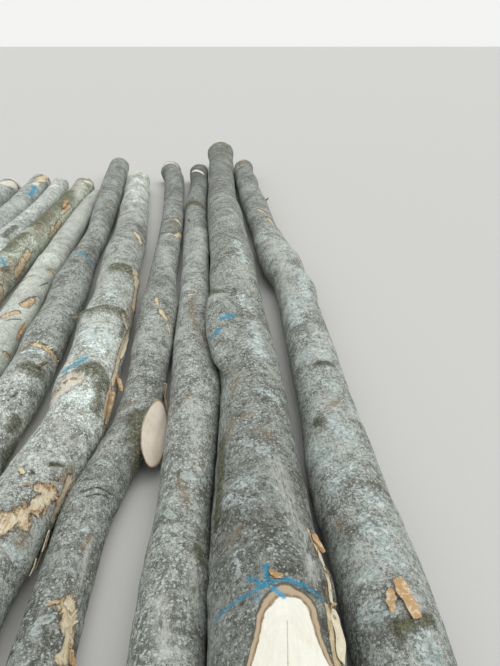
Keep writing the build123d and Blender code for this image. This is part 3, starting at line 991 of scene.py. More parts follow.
logLooks = {
    "log_01": lookOf(
        dark=(0.125, 0.127, 0.105), light=(0.600, 0.637, 0.591), lichenLevel=0.5, flecks=0.75,
        tone=[(0, 0.98), (2, 1.12), (3.6, 1.12), (5, 0.9), (7.4, 0.70)],
        swell=[
            (0.012, 0.11, [(3.94, 140)]), (0.009, 0.05, [(1.7, 85)]), (0.008, 0.07, [(3.27, 60)]),
            (-0.005, 0.025, [(3.64, 120), (3.62, 40)]), (0.007, 0.05, [(0.25, 100), (0.27, 62)]),
        ],
        scar=[
            (0.02, [(4.75, 101), (4.62, 72)]), (0.026, [(4.47, 66), (4.24, 49)]), (0.018, [(3.41, 44), (3.21, 35)]),
            (0.03, [(7.36, 150), (7.38, 120), (7.36, 95)]),
        ],
        crack=[(0.012, [(7.16, 118), (6.9, 107), (6.94, 94)]), (0.01, [(4.17, 113), (3.91, 96)])],
        brown=[
            (0.069, [(7.13, 111), (7.18, 48)]), (0.021, [(0.66, 137), (0.64, 133)]),
            (0.032, [(1.32, 98), (1.35, 85)]), (0.06, [(7.32, 130), (7.3, 70)]),
        ],
        moss=[
            (0.023, [(1.69, 96), (1.69, 72)]), (0.022, [(1.24, 126), (1.2, 120)]),
            (0.022, [(0.23, 97), (0.26, 62)]),
        ],
        pale=[(0.043, [(3.2, 114), (2.72, 128)]), (0.032, [(3.71, 106), (3.26, 111)])],
        lichen=[
            (0.032, [(1.82, 146), (1.82, 114), (1.8, 73)]), (0.019, [(1.51, 95), (1.5, 78)]),
            (0.029, [(1.2, 100), (1.08, 82)]), (0.036, [(1.08, 150), (0.94, 127)]),
            (0.03, [(0.83, 125), (0.89, 100)]), (0.025, [(0.74, 85), (0.71, 76)]),
            (0.033, [(0.61, 103), (0.59, 89)]), (0.032, [(0.53, 87), (0.52, 80)]),
            (0.031, [(0.47, 90), (0.45, 82)]), (0.02, [(0.55, 147), (0.53, 142)]),
            (0.024, [(0.42, 121), (0.43, 110)]), (0.034, [(0.32, 131), (0.27, 123)]),
            (0.026, [(0.3, 115), (0.28, 112)]), (0.03, [(0.22, 84), (0.17, 70)]), (0.031, [(0.16, 75), (0.14, 68)]),
            (0.034, [(3.05, 67), (2.55, 79)]), (0.034, [(3.95, 138), (3.78, 133)]),
            (0.037, [(2.56, 125), (2.23, 123)]),
        ],
    ),
    "log_02": lookOf(
        dark=(0.095, 0.096, 0.077), light=(0.460, 0.486, 0.441), lichenLevel=0.28, flecks=0.7,
        wrinkles=0.9, skinStep=0.0115, barkDepth=0.009,
        woodPale=(0.91, 0.90, 0.81), woodWarm=(0.87, 0.84, 0.72), woodLines=bevelLines,
        tone=[(0, 0.74), (0.9, 0.86), (2, 1.14), (3, 1.18), (5, 0.98), (8.5, 0.82)],
        swell=[
            (0.01, 0.06, [(5.2, 60)]), (0.007, 0.03, [(4.5, 70), (4.45, 20)]),
            (0.006, 0.025, [(4.25, 68), (4.22, 20)]), (-0.006, 0.03, [(2.73, 158), (2.75, 120)]),
            (0.007, 0.04, [(0.97, 132), (0.98, 84)]),
        ],
        scar=[
            (0.023, [(8.42, 137), (8.44, 119), (8.46, 96)]), (0.014, [(0.81, 39), (0.76, 36)]),
            (0.015, [(0.74, 36), (0.65, 32), (0.57, 32)]), (0.021, [(0.52, 40), (0.44, 39), (0.36, 39)]),
            (0.008, [(0.58, 91), (0.58, 85)]),
        ],
        peeled=[(0.03, [(8.47, 150), (8.48, 118), (8.47, 80), (8.46, 50)])],
        crack=[
            (0.014, [(8.48, 124), (8.45, 109)]), (0.01, [(4.88, 49), (4.87, 29)]),
            (0.01, [(2.46, 170), (2.35, 171)]), (0.01, [(1.07, 136), (1.07, 127)]),
        ],
        brown=[
            (0.022, [(0.76, 131), (0.79, 119)]), (0.025, [(1.43, 108), (1.44, 99)]),
            (0.033, [(1.44, 128), (1.33, 139)]), (0.028, [(1.31, 84), (1.27, 74)]),
            (0.028, [(1.75, 121), (1.66, 129)]), (0.05, [(8.36, 150), (8.4, 110), (8.36, 60)]),
        ],
        moss=[
            (0.025, [(2.77, 140), (2.68, 125)]), (0.043, [(2.69, 173), (2.43, 175)]),
            (0.023, [(1.36, 149), (0.9, 149)]),
        ],
        pale=[
            (0.026, [(5.05, 130), (5.11, 100)]), (0.014, [(4.71, 80), (4.46, 37), (4.08, 28)]),
            (0.027, [(1.12, 72), (0.88, 63), (0.73, 52)]), (0.018, [(0.71, 59), (0.59, 53)]),
            (0.034, [(3.25, 74), (2.8, 58)]),
        ],
        lichen=[
            (0.048, [(2.31, 76), (1.99, 69)]), (0.036, [(2.6, 85), (2.44, 75)]), (0.031, [(2.04, 86), (1.98, 81)]),
            (0.036, [(1.63, 85), (1.57, 55)]), (0.019, [(1.26, 115), (1.22, 100)]),
            (0.028, [(0.96, 135), (1.01, 121), (1, 102), (0.96, 80)]), (0.017, [(0.92, 116), (0.9, 93)]),
            (0.017, [(0.88, 111), (0.88, 105)]), (0.013, [(0.65, 98), (0.67, 88)]),
            (0.009, [(0.7, 114), (0.7, 122), (0.67, 122), (0.64, 118), (0.61, 119)]),
            (0.038, [(3.74, 78), (3.28, 64)]), (0.019, [(0.81, 70), (0.75, 66)]),
        ],
        ring=[(0.017, [(1.18, 89), (1.18, 83)])],
        paint=[
            (0.012, [(2.3, 123), (2.34, 116), (2.39, 109)]), (0.013, [(2.15, 142), (2.16, 134), (2.19, 129)]),
            (0.008, [(0.52, 149), (0.53, 126), (0.54, 110), (0.56, 97)]), (0.01, [(0.61, 95), (0.56, 94)]),
            (0.008, [(0.59, 111), (0.57, 103)]), (0.008, [(0.56, 96), (0.57, 80), (0.56, 63)]),
            (0.008, [(0.56, 63), (0.54, 51), (0.54, 43)]), (0.008, [(0.52, 105), (0.52, 104)]),
        ],
    ),
    "log_03": lookOf(
        dark=(0.120, 0.123, 0.103), light=(0.550, 0.585, 0.537), lichenLevel=0.22, flecks=0.55,
        tone=[(0, 1.10), (2, 1.15), (3, 1.18), (4, 1.0), (7.3, 0.50)],
        swell=[
            (0.008, 0.05, [(5.32, 120), (5.27, 70)]), (-0.006, 0.02, [(2.85, 112), (2.87, 80)]),
            (0.007, 0.05, [(2.07, 100)]),
        ],
        scar=[(0.012, [(2.86, 111), (2.87, 83)]), (0.009, [(1.59, 102), (1.58, 93)])],
        peeled=[(0.029, [(7.02, 131), (6.83, 63)]), (0.012, [(7.29, 140), (7.29, 60)])],
        crack=[
            (0.011, [(6.26, 124), (6.08, 57)]), (0.01, [(2.82, 118), (2.82, 83)]),
            (0.01, [(4.81, 161), (4.49, 153)]),
        ],
        brown=[(0.031, [(2.74, 103), (2.28, 83)]), (0.023, [(1.05, 100), (0.94, 79)])],
        moss=[(0.058, [(5.32, 146), (5.24, 95), (5.18, 57)]), (0.017, [(0.72, 51), (0.67, 44)])],
        pale=[
            (0.023, [(0.51, 102), (0.36, 85)]), (0.026, [(1.55, 94), (1.11, 68)]), (0.042, [(4.3, 66), (3.53, 69)]),
            (0.019, [(0.67, 59), (0.53, 46)]),
        ],
        lichen=[
            (0.018, [(1.94, 105), (1.91, 97)]), (0.02, [(1.79, 134), (1.73, 113)]),
            (0.023, [(1.46, 124), (1.45, 100)]), (0.024, [(1.15, 142), (1.19, 121)]),
            (0.016, [(1.07, 85), (1.07, 75)]), (0.02, [(1.11, 61), (1.08, 45)]), (0.013, [(0.75, 100), (0.72, 88)]),
        ],
        ring=[(0.012, [(0.9, 117), (0.86, 102)]), (0.016, [(1.07, 85), (1.07, 79)])],
    ),
    "log_04": lookOf(
        dark=(0.100, 0.102, 0.084), light=(0.470, 0.496, 0.457), lichenLevel=0.25, flecks=0.5,
        wrinkles=0.85, barkDepth=0.006, heart=0.2, tornDark=(0.64, 0.47, 0.26), tornLight=(0.87, 0.77, 0.53),
        woodPale=(0.90, 0.81, 0.70), woodWarm=(0.80, 0.68, 0.54),
        tone=[(0, 0.96), (1.2, 1.0), (2, 1.2), (4, 1.08), (7.3, 0.82)],
        swell=[
            (0.006, 0.022, [(1.17, 93), (1.17, 60)]), (0.006, 0.022, [(1.11, 93), (1.11, 58)]),
            (0.012, 0.05, [(1.41, 72), (1.27, 40)]), (0.01, 0.022, [(1.84, 24), (1.78, 8)]),
            (-0.006, 0.02, [(4.22, 84), (4.23, 40)]),
        ],
        scar=[
            (0.031, [(4.67, 56), (4.65, 13)]), (0.029, [(4.2, 85), (4.21, 50), (4.39, 15)]),
            (0.025, [(2.51, 69), (2.45, 51)]), (0.013, [(2.4, 41), (2.34, 28)]), (0.013, [(2.68, 91), (2.6, 82)]),
            (0.034, [(0.52, 51), (0.48, 41), (0.45, 36)]), (0.028, [(0.45, 36), (0.41, 30)]),
            (0.023, [(0.41, 32), (0.38, 29)]), (0.02, [(0.35, 42), (0.39, -3)]), (0.008, [(1.83, 11), (1.75, -12)]),
        ],
        peeled=[
            (0.014, [(7.29, 158), (7.28, 121), (7.26, 75), (7.17, 41)]),
            (0.026, [(7.24, 165), (7.24, 130), (7.24, 100), (7.22, 60)]),
        ],
        crack=[
            (0.01, [(0.98, 96), (1, 72), (1, 34)]), (0.01, [(0.95, 85), (0.97, 62), (0.98, 34)]),
            (0.01, [(4.77, 144), (4.55, 74)]), (0.01, [(3.33, 105), (3.41, 57)]), (0.01, [(0.92, 0), (0.99, -13)]),
            (0.01, [(1.06, 131), (1.04, 91)]),
        ],
        brown=[
            (0.029, [(1.55, 109), (1.58, 96)]), (0.017, [(0.74, 56), (0.79, 46)]),
            (0.056, [(4.54, 99), (4.46, 57)]),
        ],
        moss=[(0.035, [(1.47, 71), (1.31, 47), (1.2, 8)])],
        pale=[
            (0.04, [(3.88, 118), (3.35, 64)]), (0.025, [(2.62, 94), (2.57, 80)]), (0.03, [(1.19, 113), (1.29, 98)]),
            (0.013, [(0.77, 47), (0.55, 32)]),
        ],
        lichen=[
            (0.015, [(0.93, 34), (0.92, 0)]), (0.013, [(0.63, 76), (0.64, 62)]),
            (0.012, [(0.42, 147), (0.37, 116)]), (0.02, [(1.69, 133), (1.6, 98)]), (0.011, [(0.82, 68), (0.8, 58)]),
        ],
        ring=[
            (0.012, [(0.45, 99), (0.46, 79)]), (0.008, [(0.42, 105), (0.41, 94)]), (0.01, [(1.14, 99), (1.12, 73)]),
        ],
    ),
    "log_05": lookOf(
        dark=(0.125, 0.125, 0.102), light=(0.600, 0.637, 0.586), lichenLevel=0.3, flecks=0.6,
        tornDark=(0.60, 0.40, 0.20), tornLight=(0.90, 0.81, 0.60),
        tone=[(0, 0.96), (0.8, 1.05), (1.4, 1.75), (2.4, 1.32), (3.2, 1.1), (4.2, 0.92), (5.2, 1.5), (6.7, 1.9)],
        swell=[
            (0.022, 0.035, [(3.11, 90), (3.13, 57), (3.16, 28)]),
            (0.025, 0.032, [(2.35, 146), (2.31, 110), (2.33, 77), (2.37, 44)]),
            (0.022, 0.045, [(1.68, 67), (1.62, 51)]), (0.008, 0.018, [(1.02, 66), (1.03, 42)]),
            (0.019, 0.05, [(3.09, 10)]), (0.007, 0.02, [(4.24, 113), (4.22, 70)]),
            (0.006, 0.018, [(1.11, 60), (1.11, 30)]),
        ],
        scar=[
            (0.037, [(3.95, 56), (3.84, 31)]), (0.038, [(3.17, 37), (2.97, 6), (2.64, 9)]),
            (0.018, [(2.34, 40), (2.31, 19)]), (0.025, [(2.35, -3), (2.1, 14), (1.93, 17)]),
            (0.021, [(1.9, 18), (1.68, 19)]), (0.024, [(1.62, 23), (1.47, 18), (1.37, -11)]),
            (0.03, [(0.9, 49), (0.91, 37), (0.91, 27)]), (0.033, [(0.88, 36), (0.82, 37)]),
            (0.018, [(0.84, 47), (0.8, 44)]), (0.021, [(1.02, 14), (0.93, 6), (0.85, -3)]),
            (0.031, [(0.77, 54), (0.74, 42)]), (0.041, [(0.73, 64), (0.69, 69)]), (0.011, [(0.98, 99), (0.95, 88)]),
        ],
        peeled=[
            (0.054, [(1.58, 98), (1.53, 123)]), (0.037, [(1.53, 122), (1.48, 140)]),
            (0.024, [(6.67, 130), (6.68, 90), (6.67, 50)]),
        ],
        crack=[
            (0.01, [(0.98, 83), (0.95, 73), (0.95, 63)]), (0.01, [(1.01, 59), (1.03, 41)]),
            (0.01, [(3.15, 95), (3.17, 61)]), (0.01, [(2, 150), (1.96, 119)]), (0.01, [(0.94, 55), (0.97, 31)]),
        ],
        brown=[
            (0.046, [(1.86, 7), (1.57, 11)]), (0.052, [(2.84, 10), (2.39, 21)]), (0.027, [(0.72, 31), (0.66, 32)]),
            (0.028, [(0.98, 28), (1.05, 25)]), (0.04, [(6.62, 50), (6.64, 20)]),
        ],
        moss=[
            (0.068, [(3.09, 82), (3.11, 57), (3.1, 40)]),
            (0.042, [(2.35, 145), (2.33, 112), (2.35, 79), (2.35, 49)]),
            (0.044, [(1.63, 86), (1.66, 63), (1.58, 45)]), (0.028, [(1.57, 49), (1.4, 36)]),
            (0.008, [(1.01, 59), (1.03, 41)]), (0.017, [(2.27, 29), (2.14, 31)]),
        ],
        pale=[
            (0.014, [(4.24, 113), (4.21, 74)]), (0.011, [(3.61, 121), (3.6, 75)]),
            (0.013, [(2.39, 99), (2.42, 69)]), (0.021, [(1.28, 94), (1.17, 53)]),
        ],
        lichen=[
            (0.054, [(2.11, 115), (1.9, 77)]), (0.037, [(1.48, 62), (1.42, 66)]), (0.023, [(0.63, 42), (0.61, 25)]),
            (0.051, [(2.65, 83), (2.54, 90)]), (0.033, [(1.94, 63), (2.06, 56)]),
            (0.037, [(1.42, 100), (1.48, 84)]),
        ],
        paint=[(0.024, [(1.68, 123), (1.7, 104), (1.76, 89)])],
    ),
    "log_06": lookOf(
        dark=(0.100, 0.102, 0.086), light=(0.500, 0.533, 0.489), lichenLevel=0.25, flecks=0.5,
        tone=[(0, 1.75), (2, 1.5), (2.8, 1.05), (3.5, 1.08), (7.9, 1.0)],
        swell=[
            (0.02, 0.06, [(2.02, 69), (2.02, 45)]), (0.008, 0.03, [(4.36, 90), (4.33, 20)]),
            (-0.005, 0.018, [(2.25, 80), (2.25, 0)]), (0.006, 0.03, [(3.21, 85), (3.19, 20)]),
        ],
        scar=[
            (0.012, [(5.27, 68), (5.3, 35)]), (0.025, [(2.26, 84), (2.25, 54), (2.24, 26), (2.26, -15)]),
            (0.016, [(1.71, -24), (1.62, -27)]),
        ],
        peeled=[(0.026, [(7.87, 150), (7.88, 110), (7.88, 60), (7.87, 20)])],
        crack=[
            (0.01, [(2.28, 84), (2.28, 52), (2.28, 14)]), (0.01, [(3.55, 103), (3.56, 54)]),
            (0.01, [(1.72, 65), (1.8, 56)]),
        ],
        brown=[
            (0.038, [(1.61, -20), (1.76, -19)]), (0.038, [(2.21, 118), (2.25, 95)]),
            (0.05, [(7.8, 40), (7.84, 10)]),
        ],
        moss=[(0.041, [(2, 71), (2, 40)]), (0.035, [(1.42, 1), (1.53, -11)]), (0.027, [(1.56, 28), (1.64, 24)])],
        pale=[
            (0.011, [(4.24, 126), (4.42, 132)]), (0.008, [(3.17, 43), (3.15, 27)]),
            (0.015, [(5.56, 49), (5.49, 12)]), (0.031, [(2.85, 77), (2.52, 72)]),
        ],
        lichen=[
            (0.045, [(2.85, 77), (2.78, 38)]), (0.027, [(2.17, 107), (2.18, 63)]), (0.037, [(3.28, 0), (3.5, -5)]),
        ],
        paint=[(0.021, [(3.78, 103), (3.8, 85), (3.75, 54)]), (0.019, [(3.75, 54), (3.77, 15)])],
    ),
    "log_07": lookOf(
        dark=(0.270, 0.278, 0.235), light=(0.610, 0.640, 0.570), lichenLevel=0.2, flecks=0.2,
        tone=[(0, 1.25), (2.4, 1.42), (3.4, 1.42), (5, 1.12), (6.6, 1.12)],
        swell=[
            (-0.006, 0.018, [(3.46, 128), (3.5, 99)]), (-0.006, 0.018, [(2.79, 89), (2.89, 60)]),
            (0.008, 0.06, [(4.65, 70)]),
        ],
        scar=[
            (0.017, [(3.48, 122), (3.5, 95)]), (0.021, [(3.67, 46), (3.69, 20)]), (0.029, [(3.02, 57), (3.16, 40)]),
            (0.021, [(2.82, 94), (2.91, 62)]), (0.016, [(2.44, 25), (2.47, 3)]),
        ],
        peeled=[(0.012, [(6.59, 110), (6.59, 40)])],
        crack=[
            (0.01, [(3.53, 132), (3.52, 98), (3.5, 54)]), (0.01, [(3.09, 68), (3.24, 33), (3.25, 8)]),
            (0.01, [(2.76, 76), (2.85, 36)]), (0.01, [(3.36, 48), (3.51, 25)]), (0.01, [(3.69, 62), (3.77, 22)]),
            (0.01, [(4.41, 83), (4.47, 40)]),
        ],
        pale=[(0.07, [(5.88, 79), (4.57, 52)]), (0.054, [(3.62, 77), (2.67, 49)])],
    ),
    "log_08": lookOf(
        dark=(0.115, 0.117, 0.084), light=(0.530, 0.575, 0.478), lichenLevel=0.35, flecks=0.5,
        tone=[(0, 1.7), (6.7, 1.6)],
        swell=[(0.008, 0.07, [(4.15, 100)]), (0.007, 0.06, [(5.45, 110)])],
        scar=[
            (0.033, [(5.04, 17), (4.89, 7)]), (0.032, [(4.81, 24), (4.67, 1)]), (0.041, [(4.07, 24), (3.95, 20)]),
            (0.047, [(3.88, 16), (3.66, 2)]), (0.032, [(3.34, 15), (3.28, -18)]), (0.025, [(5.23, 40), (5.55, 38)]),
        ],
        peeled=[(0.014, [(6.69, 120), (6.69, 70)]), (0.03, [(6.55, 60), (6.62, 30)])],
        brown=[
            (0.092, [(6.45, 123), (5.8, 110)]), (0.075, [(5.04, 87), (4.38, 47)]),
            (0.068, [(3.74, 43), (3.43, 28)]), (0.07, [(6.6, 100), (6.5, 40)]),
        ],
        moss=[
            (0.093, [(6, 111), (4.66, 110)]), (0.075, [(4.33, 105), (3.95, 112)]), (0.064, [(5.8, 71), (5.37, 71)]),
        ],
        pale=[(0.058, [(6.46, 86), (5.97, 79)])],
        paint=[(0.023, [(3.73, 89), (3.61, 54)])],
    ),
    "log_09": lookOf(
        dark=(0.150, 0.155, 0.133), light=(0.670, 0.721, 0.683), lichenLevel=0.35, flecks=0.6,
        tone=[(0, 1.3), (6.8, 1.35)],
        swell=[(0.007, 0.06, [(4.45, 75)])],
        peeled=[(0.038, [(6.21, 114), (6.36, 70)]), (0.014, [(6.79, 120), (6.79, 50)])],
        crack=[(0.01, [(6.12, 117), (6.01, 62)])],
        moss=[(0.027, [(4.63, 63), (4.3, 66)])],
        pale=[(0.046, [(6.5, 90), (5.58, 88)]), (0.022, [(5.76, 115), (5.7, 67)])],
    ),
    "log_10": lookOf(
        dark=(0.140, 0.144, 0.127), light=(0.630, 0.679, 0.645), lichenLevel=0.35, flecks=0.6,
        tone=[(0, 1.15), (7, 1.15)],
        scar=[(0.05, [(6.71, 74), (6.94, 44)])],
        peeled=[(0.032, [(6.38, 67), (6.73, 38)]), (0.016, [(6.99, 120), (6.99, 40)])],
        brown=[(0.05, [(6.9, 60), (6.95, 20)])],
        pale=[(0.041, [(5.62, 60), (5.11, 43)])],
        paint=[(0.034, [(5.94, 44), (6.28, 52)])],
    ),
    "log_11": lookOf(
        dark=(0.135, 0.138, 0.120), light=(0.610, 0.648, 0.613), lichenLevel=0.3, flecks=0.6,
        tone=[(0, 1.15), (6.7, 1.15)],
        peeled=[(0.078, [(6.4, 75), (6.54, 39)]), (0.03, [(6.68, 130), (6.68, 20)])],
        crack=[(0.01, [(6.29, 51), (6.36, 23)]), (0.01, [(6.62, 60), (6.61, 19)])],
        brown=[(0.03, [(6.6, 90), (6.62, 40)])],
    ),
}


# the healed knot on the thickest log, and the slanting trim cut at its butt

knotSetup = {"along": 2.45, "angle": 139, "standOut": 0.092, "halfWidth": 0.096, "halfLength": 0.56}
thickSections = stemSections("log_02")
knotPlace = thickSections[0, 1] + knotSetup["along"]
knotX, knotRadius = stemAt(thickSections, knotPlace)
knotOut = knotRadius + knotSetup["standOut"] - knotSetup["halfWidth"]
knotTurn = math.radians(knotSetup["angle"])
bpy.ops.mesh.primitive_uv_sphere_add(
    segments=32, ring_count=16, radius=1,
    location=(knotX + knotOut * math.cos(knotTurn), knotPlace, knotRadius + knotOut * math.sin(knotTurn)),
    scale=(knotSetup["halfWidth"], knotSetup["halfLength"], knotSetup["halfWidth"]),
)
knotBulge = bpy.context.object
bpy.ops.object.transform_apply(location=True, rotation=True, scale=True)
trimFace = flatFace("log_02", (0.1, -0.4, 0.9))

# the sawn limb of the forked log. the saw meets only what lies between two places along the stem and some way
# to the right of its pith

limbSetup = {
    "along": 1.75,
    "way": (0.2496, -0.9, 0.075),
    "radius": 0.075,
    "taper": 1.12,
    "length": 0.98,
    "sawn": (0.7, 1.9, 0.05),
    "faceReach": 0.1,
    "endGrain": 0.35,
}
forkSections = stemSections("log_04")
limbPlace = forkSections[0, 1] + limbSetup["along"]
limbX, limbRadius = stemAt(forkSections, limbPlace)
limbStart = Vector((limbX, limbPlace, limbRadius))
limbWay = Vector(limbSetup["way"]).normalized()
bpy.ops.mesh.primitive_cone_add(
    vertices=40, radius1=limbSetup["radius"] * limbSetup["taper"], radius2=limbSetup["radius"],
    depth=limbSetup["length"], location=limbStart + limbWay * limbSetup["length"] / 2,
    rotation=limbWay.to_track_quat("Z", "Y").to_euler(),
)
limbStump = bpy.context.object
bpy.ops.object.transform_apply(location=True, rotation=True, scale=True)
limbFace = flatFace("log_04", (0.9, 0.0, 0.45))


def nearLimb(place):
    start, end, aside = limbSetup["sawn"]
    return (place[0] > start) & (place[0] < end) & (place[3] > aside)


# what a log has besides its stem: forms joined to it, saw cuts, and the limb's start, way and sawn middle
besides = {
    "log_02": ([knotBulge], [(*trimFace, None)], None),
    "log_04": ([limbStump], [(*limbFace, nearLimb)], (limbStart, limbWay, limbFace[0])),
}
skins = {}
for node, look in logLooks.items():
    skins[node] = makeLog(node, look, *besides.get(node, ((), (), None)))


# small pieces: torn strips of bark, chips, splinters and twig stubs

stripSetup = {
    "stretch": (5, 34, 0),
    "cover": (70, 6, 0.75),
    "coverEdge": 0.05,
    "coverTint": (0.16, 0.135, 0.10),
    "evenness": 0.4,
    "roughness": 0.8,
    "bumpDepth": 0.002,
    "rows": 4,
    "nextAlong": 0.04,
    "narrowing": 2.5,
    # waves along the edges, with the rate, start and height of each left to chance between two values
    "waves": 3,
    "waveSpans": ((3, 9), (0, 6), (0.06, 0.16)),
    "waveTurns": 3,
    "shortBy": (0.0, 0.12),
    "creaseAngle": 50,
}


def stripMaterial(name, dark, light, bare):
    # bark still covers the strip where the noise is below bare
    material, tree, shader = newMaterial(name)
    along = calcVector(tree, "MULTIPLY", coordinates(tree, "UV"), stripSetup["stretch"])
    torn = useGroup(tree, tornGroup, Dark=dark, Light=light, Along=along)
    cover = noise(tree, coordinates(tree), *stripSetup["cover"])
    tint = blend(tree, stripSetup["evenness"], torn["Color"], light)
    tint = blend(tree, between(tree, cover, bare, bare + stripSetup["coverEdge"]), stripSetup["coverTint"], tint)
    put(tree, shader.inputs["Roughness"], stripSetup["roughness"])
    finishShader(tree, shader, tint, torn["Height"], stripSetup["bumpDepth"])
    return material


finishes = {
    "chip": stripMaterial("freshChip", (0.36, 0.19, 0.085), (0.66, 0.43, 0.22), 0.30),
    "bast": stripMaterial("driedBast", (0.24, 0.12, 0.055), (0.60, 0.37, 0.18), 0.40),
    "bark": stripMaterial("looseBark", (0.10, 0.075, 0.05), (0.33, 0.27, 0.20), 0.48),
    "wood": stripMaterial("rawSplinter", (0.62, 0.47, 0.28), (0.86, 0.80, 0.62), 0.28),
}


def onSkin(node, along, angle, lift):
    # a place on the finished bark, lifted off it by some metres, and the way that the bark faces there
    log, sections = skins[node]
    y = sections[0, 1] + along
    x, radius = stemAt(sections, y)
    turn = math.radians(angle)
    guess = Vector((x + radius * math.cos(turn), y, radius + radius * math.sin(turn)))
    _, nearest, normal, _ = log.closest_point_on_mesh(guess)
    return np.array(nearest + normal * lift), np.array(normal)


def makeStrip(name, node, path, halfWidth, thick, finish, curl, frayed, steps=18):
    # a flat strip laid along the path, narrower and ragged at its ends, cupped by curl
    bpy.ops.object.select_all(action="DESELECT")
    bpy.ops.mesh.primitive_grid_add(
        x_subdivisions=steps, y_subdivisions=stripSetup["rows"], size=2, location=(0, 0, 0),
    )
    strip = bpy.context.object
    strip.name = name
    strip.data.name = name
    strip.data.materials.append(finishes[finish])
    places, ways = (np.array(found) for found in zip(*(onSkin(node, *step) for step in path)))
    share = np.linspace(0, 1, len(places))
    chance = random.Random(name)
    waves = [[chance.uniform(*span) for span in stripSetup["waveSpans"]] for _ in range(stripSetup["waves"])]
    waveTurns = stripSetup["waveTurns"]
    lines = stripSetup["rows"] + 1
    ends = [chance.uniform(*stripSetup["shortBy"]) for _ in range(2 * lines)]

    def atShare(values, at):
        return np.array([np.interp(at, share, values[:, k]) for k in range(3)])

    points = vertexArray(strip)
    for number, (u, v, _) in enumerate(points.copy()):
        side = int(round((v + 1) / 2 * stripSetup["rows"]))
        first, last = ends[side], 1 - ends[side + lines]
        at = first + (last - first) * (u + 1) / 2
        ahead = atShare(places, min(at + stripSetup["nextAlong"], 1))
        run = ahead - atShare(places, max(at - stripSetup["nextAlong"], 0))
        run /= np.linalg.norm(run) + noLength
        out = atShare(ways, at)
        out -= run * out.dot(run)
        out /= np.linalg.norm(out) + noLength
        narrowed = 1 - frayed * abs(2 * at - 1) ** stripSetup["narrowing"]
        narrowed *= 1 + sum(high * math.sin(rate * at * waveTurns + start + v) for rate, start, high in waves)
        aside = np.cross(out, run) * v * halfWidth * narrowed
        points[number] = atShare(places, at) + aside + out * curl * halfWidth * v * v
    storeVertices(strip, points)
    wall = strip.modifiers.new("thickness", "SOLIDIFY")
    wall.thickness = thick
    wall.offset = 0
    rounded = strip.modifiers.new("wornEdges", "SUBSURF")
    rounded.levels = rounded.render_levels = 1
    applyAll(strip)
    bpy.ops.object.shade_smooth_by_angle(angle=math.radians(stripSetup["creaseAngle"]))
    return strip


def gathered(name, strips):
    # strips or a stub made one piece that rides on the logs and doesn't reach below the ground
    whole = strips[0]
    for strip in strips[1:]:
        joinInto(whole, strip)
    whole.name = name
    whole.data.name = name
    points = vertexArray(whole)
    points[:, 2] = np.maximum(points[:, 2], 0.0)
    storeVertices(whole, points)
    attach(whole, "root")


# name: (log, finish, half width, thickness, cupping, fraying, path), in metres. a path is
# [(metres from the butt, degrees round the log, lift off the bark), ...]

